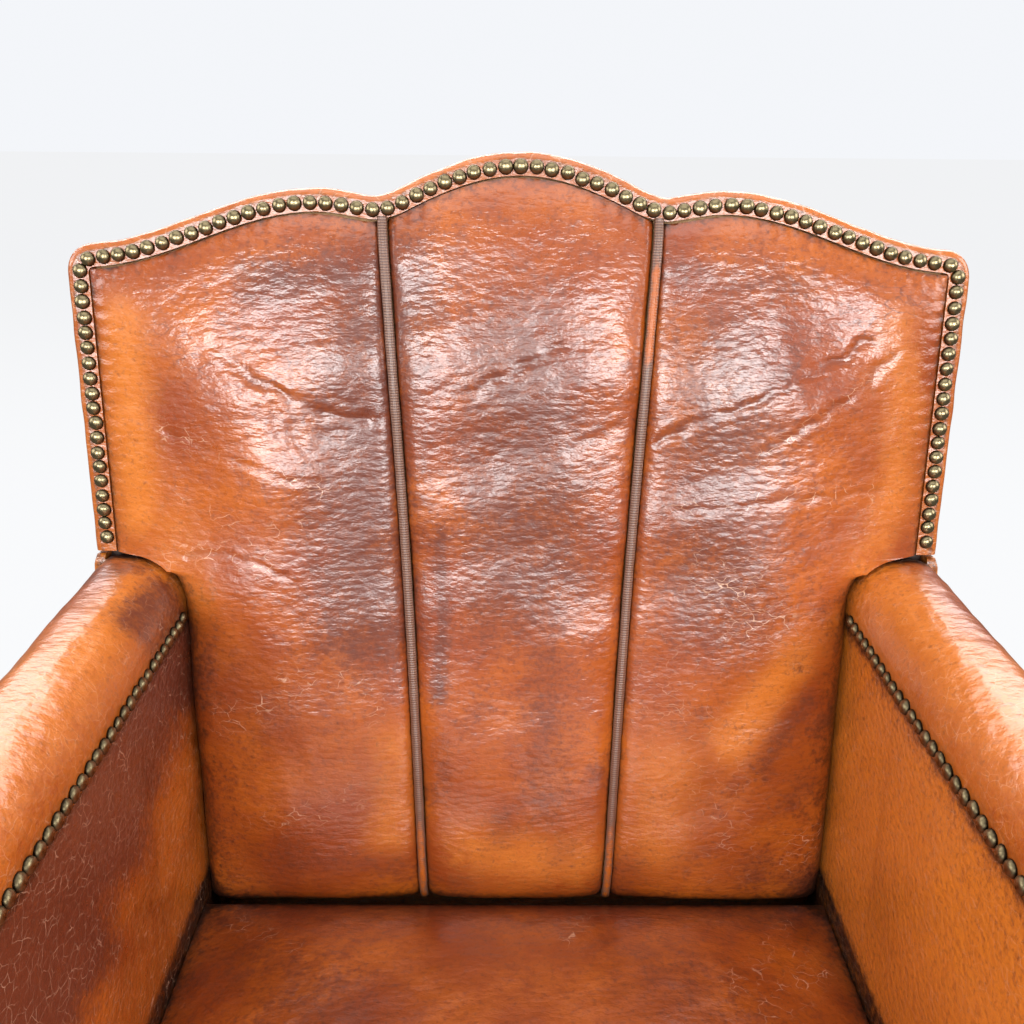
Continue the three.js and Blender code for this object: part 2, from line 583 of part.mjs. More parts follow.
// Jute webbing under the rails, coil springs on its crossings, and hessian over the springs.
function makeSuspension(frontY0, rearY1, clearFront, clearRear, railOuter) {
  const middle = (clearFront + clearRear) / 2;
  const places = Array.from({ length: SPRING_ROWS }, (_, i) => (i - (SPRING_ROWS - 1) / 2) * SPRING_SPACING);
  const strap = WEBBING_WIDTH / 2;
  const longFoot = webbingTop - WEBBING;
  const crossTop = longFoot - CLEARANCE;
  places.forEach((offset, i) => {
    const y = middle + offset;
    block(chair, `webbing_long_${i + 1}`,
      [offset - strap, frontY0, longFoot], [offset + strap, rearY1, webbingTop], jute);
    block(chair, `webbing_cross_${i + 1}`,
      [-railOuter, y - strap, crossTop - WEBBING], [railOuter, y + strap, crossTop], jute);
  });

  // An hourglass coil whose end turns lie flat.
  class Coil extends THREE.Curve {
    constructor(x, y, foot, top) {
      super();
      Object.assign(this, { x, y, foot, top });
    }
    getPoint(t, target = new THREE.Vector3()) {
      const turn = 2 * Math.PI * SPRING_TURNS * t;
      const radius = lerp(SPRING_WAIST, SPRING_RADIUS, (2 * t - 1) ** 2);
      const climb = (SPRING_TURNS * t - SPRING_FLAT) / (SPRING_TURNS - 2 * SPRING_FLAT);
      const z = lerp(this.foot, this.top, clamp(climb, 0, 1));
      return target.set(this.x + radius * Math.cos(turn), this.y + radius * Math.sin(turn), z);
    }
  }
  const wire = new THREE.Shape(new THREE.Path().absarc(0, 0, SPRING_WIRE / 2, 0, 2 * Math.PI).getPoints(2));
  let number = 0;
  for (const x of places)
    for (const offset of places) {
      const y = middle + offset;
      const lift = SPRING_WIRE / 2 + CLEARANCE;
      const top = hessianTop(y + SPRING_RADIUS) - HESSIAN - lift;
      const extrudePath = new Coil(x, y, webbingTop + lift, top);
      const coil = new THREE.ExtrudeGeometry(wire, { extrudePath, steps: SPRING_STEPS });
      number += 1;
      add(chair, `seat_spring_${number}`, coil, spring);
    }

  // The hessian is tacked on the rails, and is cut round the posts at its corners.
  const narrow = postInner - CLEARANCE;
  const rearNotch = legPoint(hessianTop(backFootY), FRAME_FRONT).x - 2 * CLEARANCE;
  const frontNotch = frontY0 + FRONT_POST_DEPTH + CLEARANCE;
  const cuts = [[frontY0, narrow], [frontNotch, narrow], [frontNotch + 1, railOuter],
    [rearNotch - 1, railOuter], [rearNotch, narrow], [rearY1, narrow]];
  const hessianAt = (under) => (u, row) => {
    const [y, half] = cuts[row];
    return new THREE.Vector3(lerp(-half, half, u), y, hessianTop(y) - under);
  };
  add(chair, 'seat_hessian', sheet(hessianAt(0), hessianAt(HESSIAN), 1, cuts.length - 1), jute);
  const dustHalf = postInner - CLEARANCE - NAIL_EDGE;
  const dustTop = crossTop - WEBBING - CLEARANCE;
  block(chair, 'dust_cover', [-dustHalf, frontY0, dustTop - HESSIAN], [dustHalf, rearY1, dustTop], lining);
}

// The tight seat: crowned between the arms, sunk at the back crease, and rolled over at the front.
const SEAT_COLUMNS = 10;
const SEAT_TOP_ROWS = [0, 0.05, 0.13, 0.28, 0.5, 0.75, 1];
const SEAT_ROLL_ROWS = [0.25, 0.5, 0.75, 1, 1.35];
function seatPoint(u, row, inset) {
  const half = seatHalf - seam;
  const x = lerp(-half, half, u);
  const rollY = frontY + SEAT_ROLL_RADIUS;
  const top = row < SEAT_TOP_ROWS.length;
  const turn = top ? 0 : (SEAT_ROLL_ROWS[row - SEAT_TOP_ROWS.length] * Math.PI) / 2;
  const flatY = top ? lerp(seatRearY, rollY, SEAT_TOP_ROWS[row]) : rollY;
  const side = 1 - (Math.abs(x) / half) ** 4;
  const sunk = 1 - Math.exp(-(seatRearY - flatY) / SEAT_ROLL_RADIUS);
  const crown = SEAT_CROWN * side * sunk;
  const radius = SEAT_ROLL_RADIUS - inset;
  const drop = SEAT_CROWN - crown;
  const y = flatY - radius * Math.sin(turn);
  const rollZ = seatLine(flatY) + SEAT_CROWN - SEAT_ROLL_RADIUS;
  return new THREE.Vector3(x, y, rollZ + radius * Math.cos(turn) - drop * Math.max(0, Math.cos(turn)));
}
function makeSeat() {
  const rows = SEAT_TOP_ROWS.length + SEAT_ROLL_ROWS.length - 1;
  const under = LEATHER + CLEARANCE;
  const skin = (inset) => (u, row) => seatPoint(u, row, inset);
  add(chair, 'seat_cover', sheet(skin(0), skin(LEATHER), SEAT_COLUMNS, rows), tanLeather);
  // Under the roll the stuffing steps back to stand behind the front border.
  const wallY = armFrontY + CLEARANCE;
  const rollUnder = seatPoint(0.5, rows, 0).z;
  const floor = (u, row) => {
    const p = seatPoint(u, row, under);
    if (row < SEAT_TOP_ROWS.length) return p.setZ(hessianTop(p.y) + CLEARANCE);
    const share = SEAT_ROLL_ROWS[row - SEAT_TOP_ROWS.length] / SEAT_ROLL_ROWS[SEAT_ROLL_ROWS.length - 1];
    const low = hessianTop(wallY) + CLEARANCE;
    return p.setY(wallY).setZ(lerp(low, rollUnder, Math.max(0, share * 2 - 1)));
  };
  add(chair, 'seat_stuffing', sheet(skin(under), floor, SEAT_COLUMNS, rows), hair);

  const borderFront = armFrontY - facingDepth + CLEARANCE;
  block(chair, 'front_border', [-seatHalf + seam, borderFront, skirtZ],
    [seatHalf - seam, armFrontY, rollUnder - LEATHER], tanLeather);
}

// The inside arm's points, and the share of its length from which it lies flat beside the back.
const INSIDE_COLUMNS = 6;
const INSIDE_HEIGHTS = [0, 0.35, 0.52, 0.7, 0.87, 1];
const INSIDE_FLAT = 0.8;
function makeArms() {
  for (const [name, sign] of SIDES) {
    // An arm section carried from the facing, where it is upright, to the back, where it leans.
    const carried = (section) => loft([0, 1].map((end) => section.map((p) => {
      const at = armEnds(-p.y)[end];
      return new THREE.Vector3(sign * (seatHalf + p.x), at.x, at.y);
    })), section);
    const coverOutline = [...armSection(0), ...armSection(LEATHER).reverse()];
    add(chair, `arm_cover_${name}`, carried(coverOutline), tanLeather);
    add(chair, `arm_stuffing_${name}`, carried(armSection(LEATHER + CLEARANCE)), hair);

    // The inside arm: leather over wadding, gently swelled, from under the nails to below the seat.
    const [topFront, topRear] = armEnds(ARM_PAD_DEPTH + CLEARANCE);
    const footRearY = backPlaneY(0, hessianTop(backFootY)) - CLEARANCE;
    const onHessian = (y) => new THREE.Vector2(y, hessianTop(y) + CLEARANCE);
    const [footFront, footRear] = [topFront.x, footRearY].map(onHessian);
    const insidePoint = (thickness) => (u, row) => {
      const foot = footFront.clone().lerp(footRear, u);
      const top = topFront.clone().lerp(topRear, u);
      const at = foot.lerp(top, INSIDE_HEIGHTS[row]);
      const seatEdge = seatLine(at.x) + SEAT_CROWN / 2;
      const upper = clamp((at.y - seatEdge) / (top.y - seatEdge), 0, 1);
      const ends = u < INSIDE_FLAT ? Math.sin((Math.PI * u) / INSIDE_FLAT) ** 0.7 : 0;
      const swell = INSIDE_ARM_SWELL * Math.sin(Math.PI * upper) * ends;
      const x = thickness ? seatHalf + thickness : seatHalf - swell;
      return new THREE.Vector3(sign * x, at.x, at.y);
    };
    const wadding = postInner - seatHalf - CLEARANCE;
    const inside = sheet(insidePoint(0), insidePoint(wadding), INSIDE_COLUMNS, INSIDE_HEIGHTS.length - 1);
    add(chair, `inside_arm_${name}`, inside, sign < 0 ? plumLeather : amberLeather);

    // The outside arm: a flat panel from the arm pad to the frame's foot, back to the rear edge.
    const [padFront, padRear] = armEnds(ARM_PAD_DEPTH + CLEARANCE);
    const panel = [
      new THREE.Vector2(padFront.x, skirtZ), legPoint(skirtZ, BACK_DEPTH), onBack(BACK_DEPTH, KNEE_LEVEL),
      onBack(BACK_DEPTH, armLevel), onBack(CLEARANCE, armLevel),
      new THREE.Vector2(padRear.x + 2 * CLEARANCE, padRear.y), padFront,
    ];
    const panelInner = postOuter + CLEARANCE;
    const panelX = fromSide(sign, panelInner, outerHalf);
    sideBoard(chair, `outside_arm_${name}`, panel, panelX, outerHalf - panelInner, amberLeather);

    // The facing closes the front of the arm, and follows the arm's round top.
    const facing = armSection(0).map((p) => [sign * (seatHalf + p.x), armTop(armFrontY) + p.y]);
    facing.push([sign * outerHalf, skirtZ], [sign * seatHalf, skirtZ]);
    const front = add(chair, `arm_facing_${name}`, extruded(flatPoints(facing), facingDepth), tanLeather);
    front.rotation.x = Math.PI / 2;
    front.position.y = armFrontY;

    // Nails along the lower inner edge of the arm pad, ending where the stuffed back begins.
    const startY = armFrontY + NAIL_DIAMETER;
    const endY = armEnds(ARM_NAIL_DROP)[1].x - padFull;
    const nailPoint = (y) => new THREE.Vector3(sign * seatHalf, y, armTop(y) - ARM_NAIL_DROP);
    const along = nailPoint(endY).sub(nailPoint(startY));
    const way = along.clone().normalize();
    const out = new THREE.Vector3(-sign, 0, 0);
    const nails = nailRun(along.length(), (share) => ({
      point: nailPoint(lerp(startY, endY, share)), along: way, out,
    }));
    add(chair, `arm_nails_${name}`, nails, agedBrass);
  }
}

makeFrame();
makeBackUpholstery();
makeBackTrim();
makeOutsideBack();
makeSeat();
makeArms();

export default chair;
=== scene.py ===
"""A worn leather club chair with a moustache back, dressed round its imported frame.

Every shape is a function of two parameters, worked out in millimetres as whole arrays, and goes into
its mesh in metres. The chair faces -Y, +Z is up, and the origin is on the floor at its middle.
"""

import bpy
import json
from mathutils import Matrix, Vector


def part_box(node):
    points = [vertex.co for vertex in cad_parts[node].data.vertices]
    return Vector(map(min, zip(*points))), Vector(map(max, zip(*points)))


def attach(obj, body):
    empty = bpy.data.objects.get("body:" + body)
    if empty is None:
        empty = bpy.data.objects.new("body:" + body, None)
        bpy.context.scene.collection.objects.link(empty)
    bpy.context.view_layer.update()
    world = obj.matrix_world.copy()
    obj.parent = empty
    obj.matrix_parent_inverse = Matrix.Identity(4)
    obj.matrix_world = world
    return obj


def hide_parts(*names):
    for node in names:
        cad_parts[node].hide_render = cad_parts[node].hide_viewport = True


bl_info = {
    "name": "Worn Club Chair",
    "version": (1, 0, 0),
    "blender": (4, 5, 0),
    "location": "View3D > Sidebar > Club Chair",
    "description": "Dresses the frame of a club chair in worn leather, piping and brass nails",
    "category": "Object",
}

import json
import math

import bpy
import numpy as np
from mathutils import Matrix

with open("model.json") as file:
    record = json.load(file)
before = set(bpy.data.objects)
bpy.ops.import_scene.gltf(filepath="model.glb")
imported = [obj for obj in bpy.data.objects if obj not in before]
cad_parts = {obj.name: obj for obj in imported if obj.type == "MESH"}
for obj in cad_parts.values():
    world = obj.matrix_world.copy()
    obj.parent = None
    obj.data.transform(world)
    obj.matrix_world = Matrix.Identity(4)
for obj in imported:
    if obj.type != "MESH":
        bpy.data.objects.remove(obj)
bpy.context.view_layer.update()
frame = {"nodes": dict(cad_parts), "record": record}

MM = 0.001


def node_box(node):
    """A frame node's lowest and highest corners, in millimetres."""
    return [np.array(corner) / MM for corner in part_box(node)]


def linear(code):
    """An sRGB hex colour as linear red, green and blue."""
    channels = np.array([int(code[i:i + 2], 16) for i in (1, 3, 5)]) / 255
    low, high = channels / 12.92, ((channels + 0.055) / 1.055) ** 2.4
    return tuple(float(c) for c in np.where(channels <= 0.04045, low, high))


# Sizes in millimetres and degrees that the frame's shapes follow
CLEARANCE = 0.3
SEAM = 1
ARM_SEAM = 2
LEATHER = 2.4
SEAT_HEIGHT = 288
SEAT_CROWN = 34
SEAT_ROLL_RADIUS = 42
SEAT_ROLL_TURN = 1.35
SEAT_LOFT = 112
ARM_HEIGHT = 573
ARM_INNER_RADIUS = 36
ARM_OUTER_RADIUS = 22
ARM_PAD_DEPTH = 50
INSIDE_ARM_SWELL = 7
SHOULDER_RISE = 220
CENTRE_RISE = 64.5
SADDLE_RISE = 33.5
HUMP_RISE = 39.5
HUMP_PLACE = 143
VALLEY_SOFTNESS = 9
PIPE_SPREAD_TOP = 96
PIPE_SPREAD_FOOT = 76
PIPE_FAN = 1.7
PIPE_DIAMETER = 7
EDGE_ROLL_HEIGHT = 9
EDGE_ROLL_REACH = 14
BACK_SWELL = 15
SWELL_REACH = 130
LUMBAR_SWELL = 7
LUMBAR_LEVEL = 140
CHANNEL_DEPTH = 6
CHANNEL_REACH = 22
TUCK_DEPTH = 14
TUCK_REACH = 20
CREASE_GAP = 3
BORDER_LIFT = 3
BACK_DEPTH = 54
FRAME_FRONT = 12
HESSIAN = 2
KNEE_LEVEL = -40
LEG_RAKE = 52
LEG_FOOT_DEPTH = 34
NAIL_EDGE = 6
NAIL_CORNER = 11
BORDER_ROLL = 4
ARM_NAIL_DROP = 43
LEAN = math.radians(15)
FALL = math.tan(math.radians(5.5))

# Places read from the frame
SEAT_HALF, OUTER_HALF = (corner[0] for corner in node_box("arm_cover_right"))
FRONT_Y, SEAT_REAR_Y = (corner[1] for corner in node_box("seat_cover"))
FACING_FRONT_Y, ARM_FRONT_Y = (corner[1] for corner in node_box("arm_facing_right"))
SKIRT_Z = node_box("arm_facing_right")[0][2]
NAIL_HALF = node_box("back_border")[1][0] - NAIL_EDGE - CLEARANCE
PAD_HALF = node_box("back_panel_right")[1][0]
POST_INNER = node_box("rear_post_right")[0][0]
PANEL_INNER = node_box("outside_arm_right")[0][0]

PAD_INSET = NAIL_HALF - PAD_HALF
BACK_EDGE = NAIL_HALF + NAIL_EDGE
PAD_FULL = EDGE_ROLL_HEIGHT + BACK_SWELL + LUMBAR_SWELL
SEAT_TO_BACK = PAD_FULL - TUCK_DEPTH + CREASE_GAP
BACK_FOOT_Y = SEAT_REAR_Y + SEAT_TO_BACK
ARM_LEVEL = (ARM_HEIGHT - SEAT_HEIGHT) / math.cos(LEAN)
SHOULDER_LEVEL = ARM_LEVEL + SHOULDER_RISE
BORDER_FOOT = ARM_LEVEL + BORDER_LIFT
COVER_BACK = BACK_DEPTH + CLEARANCE
ARM_REAR_Y = BACK_FOOT_Y + ARM_LEVEL * math.sin(LEAN)
SEAT_REAR_Z = SEAT_HEIGHT + SEAT_TO_BACK * math.sin(LEAN)
CORD_HALF = PIPE_DIAMETER / 2 + CLEARANCE

# The camera, fitted to the nails, the piping and the creases of the reference view
CAMERA_PLACE = (-10.1, -386.3, 957.9)
CAMERA_PITCH = 29.34
CAMERA_YAW = -0.5
CAMERA_ROLL = 0.56
FOCAL_PIXELS = 937.7
IMAGE_PIXELS = 1024
SENSOR_WIDTH = 36


class ChairSizes(bpy.types.PropertyGroup):
    """Sizes of the trim and the wear that a user would change."""

    nail_diameter: bpy.props.FloatProperty(
        name="Nail Diameter", description="Across one nail head", default=0.011, unit="LENGTH")
    nail_height: bpy.props.FloatProperty(
        name="Nail Height", description="How far a nail head stands out", default=0.0042, unit="LENGTH")
    piping_diameter: bpy.props.FloatProperty(
        name="Piping Diameter", description="Across the welt between the back panels",
        default=PIPE_DIAMETER * MM, unit="LENGTH")
    crease_depth: bpy.props.FloatProperty(
        name="Crease Depth", description="Depth of the deepest fold in the back",
        default=0.0016, unit="LENGTH")
    unevenness: bpy.props.FloatProperty(
        name="Unevenness", description="How far the stuffing has packed out of shape",
        default=0.0016, unit="LENGTH")


def colour_property(name, description, code):
    """A colour that a user would change, given as an sRGB hex value."""
    return bpy.props.FloatVectorProperty(
        name=name, description=description, subtype="COLOR", size=3, min=0, max=1, default=linear(code))


class ChairColours(bpy.types.PropertyGroup):
    """Colours of the leather, its wear, the shade painted into it and the trim."""

    tan: colour_property("Tan", "The leather's own cognac colour", "#b25a18")
    russet: colour_property("Russet", "Redder clouds in the hide", "#8f3d10")
    honey: colour_property("Honey", "Where the hide was least handled", "#cf7526")
    amber: colour_property("Amber", "The palest panels, on the outside and one arm", "#dd7f24")
    # Plum also paints shade: into the cores of the folds, low on the back and along the seat's rear crease.
    plum: colour_property("Plum", "Where oils have darkened the hide", "#66301f")
    # This colour darkens with dirt and with painted shade: in creases, corners, joints and along edges.
    grime: colour_property("Grime", "Dirt in creases and along edges", "#241007")
    pale: colour_property("Pale", "Dry scratches and cracked finish", "#dfb193")
    piping: colour_property("Piping", "The dark welt", "#54342a")
    brass: colour_property("Brass", "Tarnished nail heads", "#8d7f60")
    wood: colour_property("Wood", "Stained feet and legs", "#3a2216")
    floor: colour_property("Floor", "The studio floor", "#fbfcfe")


def lerp(low, high, share):
    return low + (high - low) * share


def smoothstep(value, low, high):
    """Rises from 0 at low to 1 at high with flat ends: 3 t squared less 2 t cubed."""
    part = np.clip((value - low) / (high - low), 0, 1)
    return part * part * (3 - 2 * part)


def lumps(a, b, size, seed):
    """A smooth unevenness from about -1 to 1: the sum of waves of about that length over the plane
    of a and b, each with its own direction and phase."""
    draw = np.random.default_rng(seed)
    count = 9
    turn, phase = draw.uniform(0, 2 * np.pi, (2, count))
    rate = 2 * np.pi / (size * draw.uniform(0.7, 1.6, count))
    across = np.asarray(a)[..., None] * np.cos(turn) + np.asarray(b)[..., None] * np.sin(turn)
    return np.sin(across * rate + phase).sum(-1) * 2 / count


def line_gap(a, b, line):
    """The distance from each point of the plane of a and b to a drawn line of straight stretches."""
    gap = np.full(np.broadcast(a, b).shape, np.inf)
    for start, end in zip(line, line[1:]):
        way = np.subtract(end, start)
        part = ((a - start[0]) * way[0] + (b - start[1]) * way[1]) / (way @ way)
        part = np.clip(part, 0, 1)
        gap = np.minimum(gap, np.hypot(a - start[0] - part * way[0], b - start[1] - part * way[1]))
    return gap


def painted(a, b, strokes):
    """A soft mark from 0 to 1: the strongest of bells about drawn lines, each line with its width
    and strength."""
    mark = np.zeros(np.broadcast(a, b).shape)
    for line, width, strength in strokes:
        mark = np.maximum(mark, strength * np.exp(-(line_gap(a, b, line) / width) ** 2))
    return mark


def pressed(a, b, creases):
    """The depth of folds about drawn lines, each with its width and share of the full depth. Across a
    fold the depth is (1 - s) e^-s, with s the square of distance over width, so low ridges flank it.
    The line wanders and the depth varies with slow waves."""
    depth = np.zeros(np.broadcast(a, b).shape)
    wander_a, wander_b = 3.5 * lumps(a, b, 26, 71), 3.5 * lumps(a, b, 26, 72)
    for line, width, share in creases:
        square = (line_gap(a + wander_a, b + wander_b, line) / width) ** 2
        depth += share * (1 - square) * np.exp(-square)
    return depth * (0.75 + 0.5 * lumps(a, b, 40, 73))


def rise(x):
    """The moustache's height above its corners: a cosine arch over the middle panel, saddles at the
    piping, a low hump and an easy fall to the corners, averaged over three places to soften it."""
    def raw(at):
        a = np.abs(at)
        arch = SADDLE_RISE + (CENTRE_RISE - SADDLE_RISE) * np.cos(np.pi / 2 * a / PIPE_SPREAD_TOP)
        part = np.clip((a - PIPE_SPREAD_TOP) / (HUMP_PLACE - PIPE_SPREAD_TOP), 0, 1)
        hump = SADDLE_RISE + (HUMP_RISE - SADDLE_RISE) * np.sin(np.pi / 2 * part) ** 2
        out = np.clip((a - HUMP_PLACE) / (NAIL_HALF - HUMP_PLACE), 0, 1)
        ease = HUMP_RISE * (1 + np.cos(np.pi * out)) / 2
        return np.where(a < PIPE_SPREAD_TOP, arch, np.where(a < HUMP_PLACE, hump, ease))
    return (raw(x - VALLEY_SOFTNESS) + raw(x) + raw(x + VALLEY_SOFTNESS)) / 3


def nail_level(x):
    return SHOULDER_LEVEL + rise(x)


def pad_top(x):
    """The stuffed pad's upper edge: a fixed inset square to the nail line."""
    slope = (nail_level(x + 1) - nail_level(x - 1)) / 2
    return nail_level(x) - PAD_INSET * np.hypot(1, slope)


def pipe_spread(level):
    """The piping's distance from the middle, which fans out as a power of the height."""
    share = np.maximum(0, level / SHOULDER_LEVEL) ** PIPE_FAN
    return lerp(PIPE_SPREAD_FOOT, PIPE_SPREAD_TOP, share)


def puff(x, level):
    """How far the stuffed back stands before the nail plane: an edge roll that grows as 1 - e^-d from
    the border, a broad smoothstep swell, a bell-shaped lumbar, channels at the piping and a foot tuck."""
    side = np.maximum(0, PAD_HALF - np.abs(x))
    top = np.maximum(0, pad_top(x) - level)
    roll = (1 - np.exp(-side / EDGE_ROLL_REACH)) * (1 - np.exp(-top / EDGE_ROLL_REACH))
    swell = smoothstep(side, 0, SWELL_REACH) * smoothstep(top, 0, SWELL_REACH)
    lumbar = np.exp(-((level - LUMBAR_LEVEL) / LUMBAR_LEVEL) ** 2)
    channel = np.exp(-np.abs(np.abs(x) - pipe_spread(level)) / CHANNEL_REACH)
    tuck = np.exp(-level / TUCK_REACH)
    fullness = BACK_SWELL + LUMBAR_SWELL * lumbar - CHANNEL_DEPTH * channel - TUCK_DEPTH * tuck
    return SEAM + EDGE_ROLL_HEIGHT * roll + fullness * swell


def back_place(x, behind, level):
    """Points of the leaning back in the chair's frame: behind is square to its nail plane."""
    x, behind, level = np.broadcast_arrays(x, behind, level)
    y = BACK_FOOT_Y + behind * math.cos(LEAN) + level * math.sin(LEAN)
    z = SEAT_HEIGHT - behind * math.sin(LEAN) + level * math.cos(LEAN)
    return np.stack([x, y, z], -1)


def arm_top(y):
    return ARM_HEIGHT + (ARM_REAR_Y - y) * FALL


def arm_ends(drop, behind=0):
    """The ends, as y and z, of a line along the arm at a drop below its top: the front one stands at
    the facing and the rear one on a leaning plane that far behind the nail plane."""
    drop = np.asarray(drop, float)
    front = ARM_FRONT_Y + CLEARANCE
    past = behind / math.cos(LEAN) - CLEARANCE
    level = (-drop - past * FALL) / (1 + math.tan(LEAN) * FALL)
    ahead = np.stack([np.full_like(drop, front), arm_top(front) - drop], -1)
    rear = np.stack([ARM_REAR_Y + past + level * math.tan(LEAN), ARM_HEIGHT + level], -1)
    return ahead, rear


def seat_line(y):
    return SEAT_REAR_Z + (SEAT_REAR_Y - y) * FALL


def hessian_top(y):
    return seat_line(y) - SEAT_LOFT


def leg_point(z, behind):
    """A point, as y and z, of the rear leg below its knee, where it rakes back to the floor."""
    knee = back_place(0, behind, KNEE_LEVEL)[1:]
    share = (knee[1] - z) / knee[1]
    taper = (behind - FRAME_FRONT) / (BACK_DEPTH - FRAME_FRONT)
    full = (BACK_DEPTH - FRAME_FRONT) / math.cos(LEAN)
    return np.array([knee[0] + share * (LEG_RAKE - taper * (full - LEG_FOOT_DEPTH)), z])


def grid_faces(rows, columns, start=0, closed=False):
    """Quads of a grid of points, row by row. A closed one joins its last column to its first."""
    last = columns if closed else columns - 1
    row, column = np.meshgrid(np.arange(rows - 1), np.arange(last), indexing="ij")
    after = (column + 1) % columns
    corners = [row * columns + column, row * columns + after,
               (row + 1) * columns + after, (row + 1) * columns + column]
    return start + np.stack(corners, -1).reshape(-1, 4)


def body_between(near, far):
    """A closed body from two like grids of points, with a rim between their edges."""
    rows, columns = near.shape[:2]
    count = rows * columns
    index = np.arange(count).reshape(rows, columns)
    rim = np.concatenate([index[0, :-1], index[:-1, -1], index[-1, :0:-1], index[:0:-1, 0]])
    after = np.roll(rim, -1)
    faces = [grid_faces(rows, columns), grid_faces(rows, columns, count)[:, ::-1],
             np.stack([after, rim, rim + count, after + count], -1)]
    return np.concatenate([near.reshape(-1, 3), far.reshape(-1, 3)]), [np.concatenate(faces)]


def tube(rings):
    """A closed body from rings of points in a row, each end closed by a fan about its middle."""
    stations, around = rings.shape[:2]
    count = stations * around
    points = np.concatenate([rings.reshape(-1, 3), rings[0].mean(0)[None], rings[-1].mean(0)[None]])
    step = np.arange(around)
    after = (step + 1) % around
    last = (stations - 1) * around
    caps = [np.stack([after, step, np.full(around, count)], -1),
            np.stack([last + step, last + after, np.full(around, count + 1)], -1)]
    return points, [grid_faces(stations, around, closed=True), np.concatenate(caps)]


def enclosed(points, faces):
    """Six times the volume inside the faces, which is negative if they point inwards."""
    total = 0
    for corners in (points[part] for part in faces):
        for k in range(1, corners.shape[1] - 1):
            total += (corners[:, 0] * np.cross(corners[:, k], corners[:, k + 1])).sum()
    return total


def put_piece(name, shape, material, replaced=(), marks=None, sharp=55):
    """Puts a closed body into a mesh, turned right side out, with its marks as point attributes, and
    sets it on the frame."""
    points, faces = shape
    if enclosed(points, faces) < 0:
        faces = [part[:, ::-1] for part in faces]
    mesh = bpy.data.meshes.new(name)
    mesh.from_pydata((points * MM).tolist(), [], [row for part in faces for row in part.tolist()])
    mesh.shade_smooth()
    mesh.set_sharp_from_angle(angle=math.radians(sharp))
    for mark, values in (marks or {}).items():
        layer = mesh.attributes.new(mark, "FLOAT", "POINT")
        layer.data.foreach_set("value", np.resize(values, len(points)).astype(np.float32))
    mesh.materials.append(material)
    piece = bpy.data.objects.new(name, mesh)
    bpy.context.scene.collection.objects.link(piece)
    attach(piece, "root")
    if replaced:
        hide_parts(*replaced)
    return piece


def add_node(tree, kind, inputs=(), **settings):
    """Adds a node with its settings. Inputs map its sockets to values or to other nodes' sockets."""
    made = tree.nodes.new(kind)
    for name, value in settings.items():
        setattr(made, name, value)
    for key, value in dict(inputs).items():
        if isinstance(value, bpy.types.NodeSocket):
            tree.links.new(value, made.inputs[key])
        else:
            made.inputs[key].default_value = value
    return made


def new_material(name):
    """An empty node material and its tree."""
    material = bpy.data.materials.new(name)
    material.use_nodes = True
    material.node_tree.nodes.clear()
    return material, material.node_tree


def per_mm(size):
    """The texture scale at which one feature is about that many millimetres across."""
    return 1 / (size * MM)


MARKS = ("stain", "honey", "grime", "dry", "crackle", "fold", "polish")


